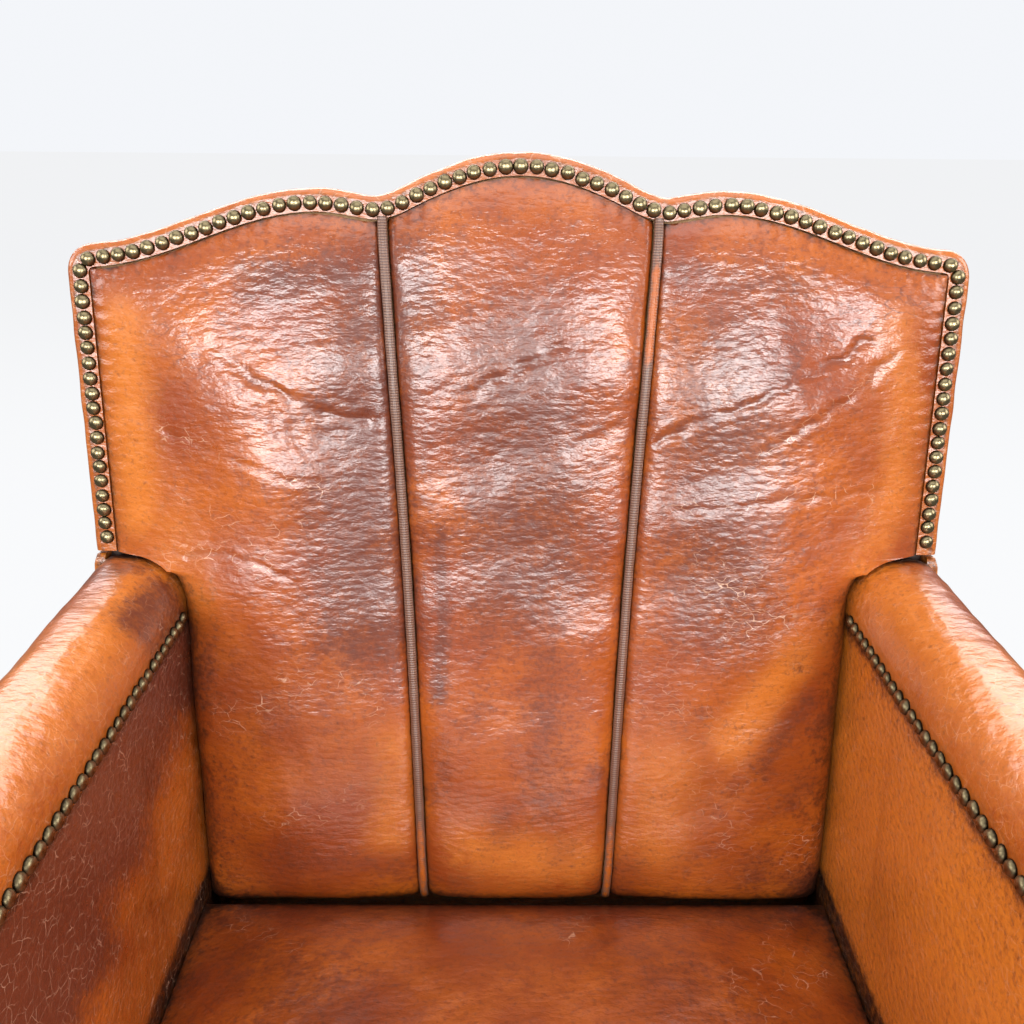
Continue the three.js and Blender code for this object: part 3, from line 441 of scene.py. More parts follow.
def worn_leather(name, ground, clouds_to, colours, streak=(0, 0, 0)):
    """Waxed aniline sheepskin, sat in for decades. The dye has clouded between two tones, oil has darkened it
    where heads and hands rest, the finish has cracked into small plates, dry scratches show pale, and the
    grain is rubbed to a low gloss. Dirt and painted shade darken its creases, corners and edges, and painted
    shade darkens the cores of its folds."""
    material, tree = new_material(name)
    place = add_node(tree, "ShaderNodeTexCoord").outputs["Object"]
    marks = {}
    for mark in MARKS:
        marks[mark] = add_node(tree, "ShaderNodeAttribute", attribute_name=mark).outputs["Fac"]

    # Uneven dye and wear: size in millimetres, detail and roughness of each noise
    noises = {}
    for kind, size, detail, rough in (("clouds", 80, 2, 0.55), ("mottle", 15, 5, 0.68),
                                      ("fleck", 4, 2, 0.72), ("warp", 6, 0, 0.5)):
        noises[kind] = add_node(tree, "ShaderNodeTexNoise", {
            "Vector": place, "Scale": per_mm(size), "Detail": detail, "Roughness": rough})
    mottle = noises["mottle"].outputs["Fac"]
    warped = add_node(tree, "ShaderNodeVectorMath", {
        0: noises["warp"].outputs["Color"], 1: (4 * MM,) * 3, 2: place},
        operation="MULTIPLY_ADD").outputs[0]

    # Each painted mark gets a ragged edge from the mottling and the finer flecks.
    uneven = add_node(tree, "ShaderNodeMath", {0: mottle, 1: noises["fleck"].outputs["Fac"]},
                      operation="ADD").outputs[0]
    soft = {}
    for mark in ("stain", "honey", "grime"):
        ragged = add_node(tree, "ShaderNodeMath", {0: uneven, 1: 0.75, 2: marks[mark]},
                          operation="MULTIPLY_ADD").outputs[0]
        soft[mark] = add_node(tree, "ShaderNodeMapRange", {
            "Value": ragged, "From Min": 0.85, "From Max": 1.75},
            interpolation_type="SMOOTHSTEP").outputs["Result"]

    # Cracks and scratches are the edges of cells 9 mm across, drawn out along the streaks. A crack is
    # 0.5 mm wide and a scratch 0.25 mm.
    mapped = add_node(tree, "ShaderNodeMapping", {
        "Vector": warped, "Scale": (0.5, 1, 1.3), "Rotation": streak}).outputs[0]
    edge = add_node(tree, "ShaderNodeTexVoronoi", {
        "Vector": mapped, "Scale": per_mm(9)}, feature="DISTANCE_TO_EDGE").outputs["Distance"]
    lines = {}
    for kind, width in (("cracks", 0.5), ("scratch", 0.25)):
        lines[kind] = add_node(tree, "ShaderNodeMapRange", {
            "Value": edge, "From Min": width / 9, "From Max": 0.1 * width / 9}).outputs["Result"]
    broken = add_node(tree, "ShaderNodeMapRange", {
        "Value": mottle, "From Min": 0.42, "From Max": 0.6}).outputs["Result"]
    shown = {}
    for kind, line, mark in (("cracks", lines["cracks"], "crackle"), ("scratch", lines["scratch"], "dry")):
        in_place = add_node(tree, "ShaderNodeMath", {0: line, 1: marks[mark]},
                            operation="MULTIPLY", use_clamp=True).outputs[0]
        shown[kind] = add_node(tree, "ShaderNodeMath", {0: in_place, 1: broken},
                               operation="MULTIPLY", use_clamp=True).outputs[0]

    drift = add_node(tree, "ShaderNodeMapRange", {
        "Value": noises["clouds"].outputs["Fac"], "From Min": 0.36, "From Max": 0.66}).outputs["Result"]
    dapple = add_node(tree, "ShaderNodeMapRange", {
        "Value": mottle, "From Min": 0.45, "From Max": 0.7, "To Max": 0.7}).outputs["Result"]
    flecks = add_node(tree, "ShaderNodeMapRange", {
        "Value": noises["fleck"].outputs["Fac"], "From Min": 0.5, "From Max": 0.74, "To Max": 0.5})
    # The dark marks lay painted shade into creases, corners, edges and the cores of the folds, as well as
    # real stains and dirt.
    layers = [(drift, clouds_to), (dapple, colours.russet), (soft["honey"], colours.honey),
              (soft["stain"], colours.plum), (flecks.outputs["Result"], colours.plum),
              (marks["fold"], colours.plum),
              (shown["cracks"], colours.plum), (soft["grime"], colours.grime),
              (shown["scratch"], colours.pale)]
    colour = (*ground, 1)
    for mask, tint in layers:
        colour = add_node(tree, "ShaderNodeMix", {0: mask, 6: colour, 7: (*tint, 1)},
                          data_type="RGBA").outputs[2]

    # Fine wrinkles drawn out across the chair, and the pebbled grain between them. At 4 and 6 mm they
    # are coarser than a sheep's own grain, so that they show at this distance.
    drawn_out = add_node(tree, "ShaderNodeMapping", {
        "Vector": place, "Scale": (0.55, 1, 1.25)}).outputs[0]
    wrinkles = add_node(tree, "ShaderNodeTexNoise", {
        "Vector": drawn_out, "Scale": per_mm(4), "Detail": 2, "Roughness": 0.7}).outputs["Fac"]
    pebbles = add_node(tree, "ShaderNodeTexVoronoi", {
        "Vector": drawn_out, "Scale": per_mm(6)}, feature="F1").outputs["Distance"]
    height = add_node(tree, "ShaderNodeMath", {0: pebbles, 1: -0.75, 2: wrinkles},
                      operation="MULTIPLY_ADD").outputs[0]
    normal = add_node(tree, "ShaderNodeBump", {
        "Height": height, "Distance": 0.6 * MM, "Strength": 0.75}).outputs["Normal"]
    gloss = add_node(tree, "ShaderNodeMapRange", {
        "Value": mottle, "From Min": 0.3, "From Max": 0.7, "To Min": 0.3, "To Max": 0.4}).outputs["Result"]
    rough = add_node(tree, "ShaderNodeMath", {0: marks["polish"], 1: -0.06, 2: gloss},
                     operation="MULTIPLY_ADD", use_clamp=True).outputs[0]
    shader = add_node(tree, "ShaderNodeBsdfPrincipled", {
        "Base Color": colour, "Roughness": rough, "Normal": normal, "IOR": 1.5,
        "Specular IOR Level": 0.6, "Coat Weight": 0.7, "Coat Roughness": 0.25, "Coat Normal": normal})
    add_node(tree, "ShaderNodeOutputMaterial", {"Surface": shader.outputs[0]})
    return material


def leather(tone):
    """One of the chair's leathers, made once: tan, plum or amber."""
    name = f"waxed_sheepskin_{tone}"
    if name in bpy.data.materials:
        return bpy.data.materials[name]
    colours = bpy.context.scene.chair_colours
    grounds = {"tan": (colours.tan, colours.russet), "plum": (colours.tan, colours.russet),
               "amber": (colours.amber, colours.honey)}
    streaks = {"tan": (0, 0, 0), "plum": (math.radians(38), 0, 0), "amber": (math.radians(-30), 0, 0)}
    return worn_leather(name, *grounds[tone], colours, streaks[tone])


def dark_welt(colours):
    """Leather sewn over a cord and rubbed for years: nearly black, ribbed by its stitches and paled on them
    by dust and a painted sheen, and worn through to tan on its crown."""
    material, tree = new_material("rubbed_leather_welt")
    place = add_node(tree, "ShaderNodeTexCoord").outputs["Object"]
    worn = add_node(tree, "ShaderNodeAttribute", attribute_name="worn").outputs["Fac"]
    along = add_node(tree, "ShaderNodeAttribute", attribute_name="along").outputs["Fac"]
    noise = add_node(tree, "ShaderNodeTexNoise", {
        "Vector": place, "Scale": per_mm(5), "Detail": 5, "Roughness": 0.7}).outputs["Fac"]
    # Stitch ribs stand 1.9 mm apart, as the attribute counts millimetres along the cord.
    turns = add_node(tree, "ShaderNodeMath", {0: along, 1: 2 * math.pi / 1.9, 2: noise},
                     operation="MULTIPLY_ADD").outputs[0]
    ribs = add_node(tree, "ShaderNodeMath", {0: turns}, operation="SINE").outputs[0]
    ragged = add_node(tree, "ShaderNodeMath", {0: noise, 1: 0.9, 2: worn},
                      operation="MULTIPLY_ADD").outputs[0]
    bare = add_node(tree, "ShaderNodeMapRange", {
        "Value": ragged, "From Min": 0.72, "From Max": 1.0}).outputs["Result"]
    # Pale on the raised stitch ribs: dust and a painted sheen that lightens the welt.
    rib_dust_and_sheen = add_node(tree, "ShaderNodeMapRange", {
        "Value": ribs, "From Min": -1, "From Max": 1, "To Min": 0.0, "To Max": 0.25}).outputs["Result"]
    colour = (*colours.piping, 1)
    for mask, tint in ((rib_dust_and_sheen, colours.pale), (bare, colours.tan)):
        colour = add_node(tree, "ShaderNodeMix", {0: mask, 6: colour, 7: (*tint, 1)},
                          data_type="RGBA").outputs[2]
    bump = add_node(tree, "ShaderNodeBump", {"Height": ribs, "Distance": 0.2 * MM, "Strength": 0.5})
    shader = add_node(tree, "ShaderNodeBsdfPrincipled", {
        "Base Color": colour, "Roughness": 0.3, "Normal": bump.outputs["Normal"], "IOR": 1.5,
        "Coat Weight": 0.5, "Coat Roughness": 0.3})
    add_node(tree, "ShaderNodeOutputMaterial", {"Surface": shader.outputs[0]})
    return material


def tarnished_brass(colours):
    """Stamped brass nail heads under old lacquer: warm grey-gold, dark where dirt holds round the rim,
    and brighter on the rubbed crown."""
    material, tree = new_material("tarnished_brass")
    place = add_node(tree, "ShaderNodeTexCoord").outputs["Object"]
    rim = add_node(tree, "ShaderNodeAttribute", attribute_name="rim").outputs["Fac"]
    noise = add_node(tree, "ShaderNodeTexNoise", {
        "Vector": place, "Scale": per_mm(4), "Detail": 4, "Roughness": 0.65}).outputs["Fac"]
    ragged = add_node(tree, "ShaderNodeMath", {0: noise, 1: 0.5, 2: rim},
                      operation="MULTIPLY_ADD").outputs[0]
    dirty = add_node(tree, "ShaderNodeMapRange", {
        "Value": ragged, "From Min": 0.5, "From Max": 1.05}).outputs["Result"]
    colour = add_node(tree, "ShaderNodeMix", {
        0: dirty, 6: (*colours.brass, 1), 7: (*linear("#2b251c"), 1)}, data_type="RGBA").outputs[2]
    rough = add_node(tree, "ShaderNodeMapRange", {
        "Value": ragged, "From Min": 0.2, "From Max": 1.3, "To Min": 0.26, "To Max": 0.6})
    bump = add_node(tree, "ShaderNodeBump", {"Height": noise, "Distance": 0.3 * MM, "Strength": 0.35})
    shader = add_node(tree, "ShaderNodeBsdfPrincipled", {
        "Base Color": colour, "Metallic": 1.0, "Roughness": rough.outputs["Result"],
        "Normal": bump.outputs["Normal"]})
    add_node(tree, "ShaderNodeOutputMaterial", {"Surface": shader.outputs[0]})
    return material


def fibre_material(name, low, high, size, stretch, rough, metallic=0.0):
    """Wood, jute, hair, cloth or drawn wire: two tones in fibres of that width in millimetres, drawn
    out along the axis where the stretch is small."""
    material, tree = new_material(name)
    place = add_node(tree, "ShaderNodeTexCoord").outputs["Object"]
    mapped = add_node(tree, "ShaderNodeMapping", {"Vector": place, "Scale": stretch}).outputs[0]
    fibre = add_node(tree, "ShaderNodeTexNoise", {
        "Vector": mapped, "Scale": per_mm(size), "Detail": 5, "Roughness": 0.65, "Distortion": 0.3})
    share = add_node(tree, "ShaderNodeMapRange", {
        "Value": fibre.outputs["Fac"], "From Min": 0.32, "From Max": 0.68}).outputs["Result"]
    colour = add_node(tree, "ShaderNodeMix", {0: share, 6: (*low, 1), 7: (*high, 1)},
                      data_type="RGBA").outputs[2]
    bump = add_node(tree, "ShaderNodeBump", {
        "Height": fibre.outputs["Fac"], "Distance": 0.2 * size * MM, "Strength": 0.4})
    shader = add_node(tree, "ShaderNodeBsdfPrincipled", {
        "Base Color": colour, "Roughness": rough, "Metallic": metallic, "Normal": bump.outputs["Normal"]})
    add_node(tree, "ShaderNodeOutputMaterial", {"Surface": shader.outputs[0]})
    return material


# The back's wear, drawn on its plane: points across and up in millimetres, a width, a strength
BACK_FOLDS = [
    ([(-219, 457), (-199, 439), (-169, 424), (-135, 407), (-108, 402)], 5, 1.0),
    ([(-169, 422), (-158, 382), (-148, 373)], 4, 0.5),
    ([(-182, 426), (-171, 391)], 4, 0.45),
    ([(-164, 417), (-140, 391)], 4, 0.45),
    ([(-256, 395), (-229, 384), (-204, 373), (-177, 361), (-142, 356)], 4, 0.35),
    ([(-258, 299), (-217, 304), (-199, 297), (-172, 285)], 4, 0.35),
    ([(-35, 422), (-14, 433), (28, 456)], 5, 0.6),
    ([(37, 383), (73, 400)], 5, 0.4),
    ([(252, 463), (227, 446), (191, 428), (165, 417), (133, 405), (101, 393)], 5, 0.9),
    ([(272, 451), (255, 435), (227, 413), (201, 396), (179, 382)], 5, 0.5),
    ([(269, 351), (233, 348), (186, 346), (151, 343), (119, 338)], 4, 0.5),
    ([(183, 277), (190, 260), (196, 243)], 4, 0.5),
    ([(150, 285), (160, 262), (150, 240)], 4, 0.4),
]
BACK_STAINS_AND_SHADOW = [
    ([(-95, 490), (-112, 400), (-118, 300), (-112, 252)], 62, 0.85),
    ([(-185, 500), (-110, 505)], 24, 0.8),
    ([(0, 440), (5, 290)], 74, 0.8),
    ([(-58, 322), (-57, 250), (-60, 190)], 9, 0.75),
    ([(-57, 150), (-56, 110)], 9, 0.5),
    # Painted shadow: the soft dark upright strip low on the middle panel.
    ([(20, 240), (23, 90)], 28, 0.55),
    ([(150, 440), (145, 330), (152, 275)], 66, 0.75),
    ([(115, 505), (200, 500)], 24, 0.55),
    ([(226, 186), (191, 132)], 15, 0.6),
]
BACK_HONEY = [
    ([(-284, 470), (-285, 330)], 24, 0.8),
    ([(-262, 320), (-250, 270)], 30, 0.55),
    ([(272, 470), (283, 417), (280, 347), (262, 290)], 22, 0.6),
    ([(212, 222), (168, 155)], 22, 0.9),
    ([(120, 130), (112, 60)], 34, 0.6),
    ([(-30, 55), (45, 45)], 36, 0.7),
    ([(-95, 150), (-102, 70)], 24, 0.6),
]
BACK_DRY = [
    ([(-256, 395), (-229, 384), (-204, 373), (-177, 361), (-142, 356)], 9, 1.0),
    ([(-248, 345), (-221, 331), (-207, 324)], 8, 0.9),
    ([(-164, 331), (-189, 312), (-208, 304)], 8, 0.9),
    ([(-258, 299), (-217, 304), (-199, 297), (-172, 285)], 11, 1.0),
    ([(-233, 168), (-206, 173), (-189, 194), (-160, 207)], 11, 0.9),
    ([(-136, 207), (-117, 195), (-113, 181)], 12, 0.7),
    ([(-205, 81), (-160, 89), (-129, 106)], 13, 0.7),
    ([(272, 451), (255, 435), (227, 413), (201, 396), (179, 382)], 8, 0.9),
    ([(269, 351), (233, 348), (186, 346), (151, 343), (119, 338)], 10, 0.9),
    ([(150, 290), (175, 262), (196, 243)], 26, 0.8),
    ([(224, 63), (247, 66)], 9, 1.0),
    ([(225, 41), (243, 50)], 9, 1.0),
    ([(120, 200), (150, 150), (170, 60)], 36, 0.45),
]
BACK_CRACKLE = [
    ([(-225, 460), (-190, 450), (-155, 436)], 40, 1.0),
    ([(268, 490), (211, 462), (165, 436)], 30, 1.0),
    ([(150, 278), (192, 258)], 28, 0.7),
    ([(-60, 442), (55, 425)], 48, 0.45),
]


def back_rows(count):
    """Rows of the back's grid below the border's foot: up from the seat, round the arm's rounded top
    on a quarter circle a seam wider than the arm, then out along the arm's top. Gives each row's
    height and half width."""
    ease = math.cos(LEAN) + math.sin(LEAN) * FALL
    radius = ARM_INNER_RADIUS + ARM_SEAM
    turn = np.linspace(0, np.pi / 2, count // 6)
    round_level = ARM_LEVEL - (ARM_INNER_RADIUS - radius * np.sin(turn)) / ease
    round_half = SEAT_HALF + ARM_INNER_RADIUS - radius * np.cos(turn)
    lower = np.linspace(0, round_level[0], count - count // 4)[:-1]
    shelf = np.linspace(0, 1, count // 12 + 1)[1:]
    level = np.concatenate([lower, round_level, lerp(round_level[-1], BORDER_FOOT, shelf)])
    half = np.concatenate([np.full_like(lower, round_half[0]), round_half,
                           lerp(round_half[-1], PAD_HALF, shelf)])
    return level, half


def back_grid(inner, outer, columns, rows):
    """Across and up of a panel's grid. A column stands at a share, crowded to both edges by a cosine,
    of the way from the inner edge to the outer one, where an edge follows the height."""
    level, half = back_rows(rows)
    share = (1 - np.cos(np.linspace(0, np.pi, columns + 1))) / 2
    share = lerp(np.linspace(0, 1, columns + 1), share, 0.6)
    top_x = lerp(inner(SHOULDER_LEVEL, PAD_HALF), outer(SHOULDER_LEVEL, PAD_HALF), share)
    climb = np.linspace(0, 1, rows + 1)[1:, None]
    upper = lerp(BORDER_FOOT, pad_top(top_x)[None, :], climb)
    up = np.concatenate([np.repeat(level[:, None], columns + 1, 1), upper])
    wide = np.concatenate([half, np.full(rows, PAD_HALF)])[:, None]
    return lerp(inner(up, wide), outer(up, wide), share[None, :]), up, wide


def back_surface(x, level, wide, sizes):
    """The worn face of the back: its puff, rolled off beside the arms and the piping, puckered by the
    nails, folded along the drawn creases and uneven with packed stuffing."""
    face = puff(x, level)
    beside_arm = np.maximum(0, wide - np.abs(x)) + 400 * smoothstep(level, ARM_LEVEL - 12, ARM_LEVEL)
    beside_pipe = np.maximum(0, np.abs(np.abs(x) - pipe_spread(level)) - CORD_HALF)
    face -= 9 * np.exp(-beside_arm / 6) + 3 * np.exp(-beside_pipe / 3.5)
    top = np.maximum(0, pad_top(x) - level)
    side = np.maximum(0, PAD_HALF - np.abs(x)) + 400 * smoothstep(-level, -BORDER_FOOT, 10 - BORDER_FOOT)
    pitch = sizes.nail_diameter / MM
    pucker = np.cos(2 * np.pi * x / pitch) * np.exp(-top / 8)
    pucker += np.cos(2 * np.pi * level / pitch) * np.exp(-side / 8)
    inside = smoothstep(np.minimum(top, side), 0, 40)
    face += 0.5 * pucker * (1 - np.exp(-np.minimum(top, side) / 2))
    face += sizes.unevenness / MM * lumps(x, level, 90, 3) * inside
    face += 0.18 * lumps(x, level, 24, 5) * inside
    return face - sizes.crease_depth / MM * pressed(x, level, BACK_FOLDS)


def back_marks(x, level, wide):
    """Wear and painted shade of the back: the drawn strokes, with dirt and painted shade at the foot, beside
    the arms, the piping and the nails, painted shade low down and beside the arms, and painted shade in the
    cores of the folds."""
    beside_arm = np.maximum(0, wide - np.abs(x)) + 400 * smoothstep(level, ARM_LEVEL - 12, ARM_LEVEL)
    beside_pipe = np.maximum(0, np.abs(np.abs(x) - pipe_spread(level)) - CORD_HALF)
    edge = np.minimum(pad_top(x) - level, PAD_HALF - np.abs(x) + 400 * (level < BORDER_FOOT))
    # Dirt and painted shade: darker in the crease at the foot, beside the arms, in narrow gutters beside the
    # piping and along the nail line.
    grime = 0.8 * np.exp(-level / 7) + 0.75 * np.exp(-beside_arm / 16) + 0.6 * np.exp(-beside_pipe / 2)
    grime += 0.6 * np.exp(-np.maximum(0, edge) / 4)
    # Painted shade: a mottled darkening low on the back and beside the arms, laid in with the plum stains.
    low = 0.35 * np.exp(-level / 60) + 0.3 * np.exp(-beside_arm / 45) + 0.34 * lumps(x, level, 60, 75)
    low = low * smoothstep(-level, -330, -200)
    return {"stain": np.maximum(painted(x, level, BACK_STAINS_AND_SHADOW), low), "honey": painted(x, level, BACK_HONEY),
            "grime": np.clip(grime, 0, 1), "dry": painted(x, level, BACK_DRY),
            "crackle": painted(x, level, BACK_CRACKLE),
            # Painted shade: plum in the cores of the folds.
            "fold": np.clip(0.6 * pressed(x, level, BACK_FOLDS), 0, 1),
            "polish": smoothstep(level, 250, 410)}


class CHAIR_OT_back_panels(bpy.types.Operator):
    """Makes the three stuffed leather panels of the back"""

    bl_idname = "chair.back_panels"
    bl_label = "Back Panels"

    def execute(self, context):
        sizes = context.scene.chair_sizes
        behind = FRAME_FRONT - CLEARANCE - HESSIAN - CLEARANCE
        edges = {
            "left": (lambda s, w: -w + 0 * s, lambda s, w: -pipe_spread(s) - CORD_HALF, 96, "tan"),
            "centre": (lambda s, w: CORD_HALF - pipe_spread(s), lambda s, w: pipe_spread(s) - CORD_HALF,
                       84, "plum"),
            "right": (lambda s, w: pipe_spread(s) + CORD_HALF, lambda s, w: w + 0 * s, 96, "tan"),
        }
        for name, (inner, outer, columns, tone) in edges.items():
            x, level, wide = back_grid(inner, outer, columns, 130)
            near = back_place(x, -back_surface(x, level, wide, sizes), level)
            shape = body_between(near, back_place(x, behind, level))
            replaced = [f"back_panel_{name}"] + (["back_stuffing"] if name == "centre" else [])
            marks = {mark: values.ravel() for mark, values in back_marks(x, level, wide).items()}
            put_piece(f"back_cushion_{name}", shape, leather(tone), replaced, marks)
        return {"FINISHED"}


class CHAIR_OT_piping(bpy.types.Operator):
    """Makes the two dark welts between the back panels"""

    bl_idname = "chair.piping"
    bl_label = "Piping"

    def execute(self, context):
        material = dark_welt(context.scene.chair_colours)
        radius = context.scene.chair_sizes.piping_diameter / MM / 2
        level = np.linspace(0, nail_level(PIPE_SPREAD_TOP) - PAD_INSET + 3, 420)
        turn = np.linspace(0, 2 * np.pi, 16, endpoint=False)
        for name, sign in (("left", -1), ("right", 1)):
            # A ring of even radius, wavering a little, carried up the seam between two panels.
            middle = sign * pipe_spread(level)
            out = puff(middle, level) + radius - LEATHER - 1.2
            ring = radius * (1 + 0.05 * lumps(level, 0 * level, 17, 11 + sign))[:, None]
            x = middle[:, None] + ring * np.cos(turn)
            behind = -out[:, None] + ring * np.sin(turn)
            shape = tube(back_place(x, behind, level[:, None]))
            bare = painted(level, 0 * level, [([(60, 0), (0, 0)], 30, 0.5)])
            if sign > 0:
                bare = np.maximum(bare, painted(level, 0 * level, [([(455, 0), (505, 0)], 14, 0.62)]))
            front = np.clip(-np.sin(turn), 0, 1)
            worn = np.append((bare[:, None] * front).ravel(), [0, 0])
            along = np.append(np.repeat(level, len(turn)), [level[0], level[-1]])
            put_piece(f"back_piping_welt_{name}", shape, material,
                      [f"back_piping_{name}"], {"worn": worn, "along": along})
        return {"FINISHED"}


def nail_line():
    """The nail line round the back as points across and up, evenly close: up one side, round a corner
    (a quadratic curve), over the moustache and down again."""
    over = NAIL_HALF - NAIL_CORNER
    share = np.linspace(0, 1, 25)[:, None]
    foot = np.array([-NAIL_HALF, BORDER_FOOT + 5.5])
    shoulder = np.array([-NAIL_HALF, SHOULDER_LEVEL - NAIL_CORNER])
    corner = np.array([-NAIL_HALF, SHOULDER_LEVEL])
    end = np.array([-over, nail_level(over)])
    side = lerp(foot, shoulder, np.linspace(0, 1, 80)[:, None])[:-1]
    bend = (1 - share) ** 2 * shoulder + 2 * share * (1 - share) * corner + share ** 2 * end
    x = np.linspace(-over, over, 401)
    crest = np.stack([x, nail_level(x)], -1)
    mirror = np.array([-1, 1])
    left = np.concatenate([side, bend[:-1]])
    return np.concatenate([left, crest, (left * mirror)[::-1]])


def evenly(line, count):
    """That many points at even distances along a line, each with its direction: the middles of equal
    stretches."""
    step = np.linalg.norm(np.diff(line, axis=0), axis=1)
    reach = np.concatenate([[0], np.cumsum(step)])
    at = (np.arange(count) + 0.5) / count * reach[-1]
    points = np.stack([np.interp(at, reach, part) for part in line.T], -1)
    ahead = np.stack([np.interp(at + 1, reach, part) for part in line.T], -1)
    before = np.stack([np.interp(at - 1, reach, part) for part in line.T], -1)
    way = ahead - before
    return points, way / np.linalg.norm(way, axis=1)[:, None], reach[-1]


# A nail head's profile: share of its radius and of its height, from the rim's underside to its crown
NAIL_PROFILE = ((0.9, -0.1), (1.0, 0.02), (0.97, 0.3), (0.82, 0.64), (0.55, 0.87), (0.25, 0.98))
NAIL_SIDES = 12


def nail_heads(centres, along, out, sizes, seed):
    """Domed heads at given places: one turned profile of few faces, copied to each place with its own
    small turn, size, height and tilt."""
    draw = np.random.default_rng(seed)
    count = len(centres)
    across = np.cross(along, out)
    profile = np.array(NAIL_PROFILE)
    rings = len(profile)
    turn = np.linspace(0, 2 * np.pi, NAIL_SIDES, endpoint=False) + draw.uniform(0, 1, (count, 1))
    radius = sizes.nail_diameter / MM / 2 * draw.uniform(0.93, 1.0, count)
    height = sizes.nail_height / MM * draw.uniform(0.85, 1.08, count)
    lean_a, lean_b = draw.normal(0, 0.05, (2, count, 1, 1))
    flat = radius[:, None, None] * profile[None, :, None, 0]
    a, b = flat * np.cos(turn)[:, None, :], flat * np.sin(turn)[:, None, :]
    h = CLEARANCE + height[:, None, None] * profile[None, :, None, 1] + lean_a * a + lean_b * b
    place = lambda p, q, r: (centres[:, None, None] + p[..., None] * across[:, None, None]
                             + q[..., None] * along[:, None, None] + r[..., None] * out[:, None, None])
    body = place(a, b, h).reshape(count, -1, 3)
    zero = np.zeros((count, 1, 1))
    crown = place(zero, zero, zero + CLEARANCE + height[:, None, None]).reshape(count, 1, 3)
    under = place(zero, zero, zero + CLEARANCE / 2).reshape(count, 1, 3)
    points = np.concatenate([body, crown, under], 1)
    size = points.shape[1]
    step = np.arange(NAIL_SIDES)
    after = (step + 1) % NAIL_SIDES
    last = (rings - 1) * NAIL_SIDES
    fans = np.concatenate([np.stack([last + step, last + after, np.full(NAIL_SIDES, size - 2)], -1),
                           np.stack([after, step, np.full(NAIL_SIDES, size - 1)], -1)])
    offset = (np.arange(count) * size)[:, None, None]
    faces = [(part[None] + offset).reshape(-1, part.shape[1])
             for part in (grid_faces(rings, NAIL_SIDES, closed=True), fans)]
    rim = np.concatenate([np.repeat(1 - profile[:, 1], NAIL_SIDES), [0, 1]])
    return (points.reshape(-1, 3), faces), {"rim": np.tile(np.clip(rim, 0, 1), count)}


class CHAIR_OT_nails(bpy.types.Operator):
    """Makes the rows of brass nails round the back and under the arm pads"""

    bl_idname = "chair.nails"
    bl_label = "Nails"

    def execute(self, context):
        sizes = context.scene.chair_sizes
        material = tarnished_brass(context.scene.chair_colours)
        pitch = sizes.nail_diameter / MM
        line = nail_line()
        length = evenly(line, 2)[2]
        draw = np.random.default_rng(21)
        points, way, _ = evenly(line, round(length / pitch))
        points = points + draw.normal(0, 0.25, points.shape)
        centres = back_place(points[:, 0], 0, points[:, 1])
        origin = back_place(0, 0, 0)
        along = back_place(way[:, 0], 0, way[:, 1]) - origin
        out = np.broadcast_to(back_place(0, -1, 0) - origin, centres.shape)
        shape, marks = nail_heads(centres, along, out, sizes, 22)
        put_piece("back_nail_heads", shape, material, ["back_nails"], marks, sharp=80)

        for name, sign in (("left", -1), ("right", 1)):
            start = ARM_FRONT_Y + pitch
            end = arm_ends(ARM_NAIL_DROP)[1][0] - PAD_FULL + 14
            y = np.linspace(start, end, round((end - start) / pitch) + 1)
            y = y + draw.normal(0, 0.25, y.shape)
            drop = ARM_NAIL_DROP + draw.normal(0, 0.35, y.shape)
            centres = np.stack([np.full_like(y, sign * SEAT_HALF), y, arm_top(y) - drop], -1)
            along = np.broadcast_to(np.array([0, 1, -FALL]) / math.hypot(1, FALL), centres.shape)
            out = np.broadcast_to(np.array([-sign, 0, 0]), centres.shape)
            shape, marks = nail_heads(centres, along, out, sizes, 23 + sign)
            put_piece(f"arm_nail_heads_{name}", shape, material, [f"arm_nails_{name}"],
                      marks, sharp=80)
        return {"FINISHED"}


def no_marks(shape, **given):
    """Blank wear of that shape, with the marks that are given."""
    return {mark: np.broadcast_to(given.get(mark, 0.0), shape).ravel() for mark in MARKS}


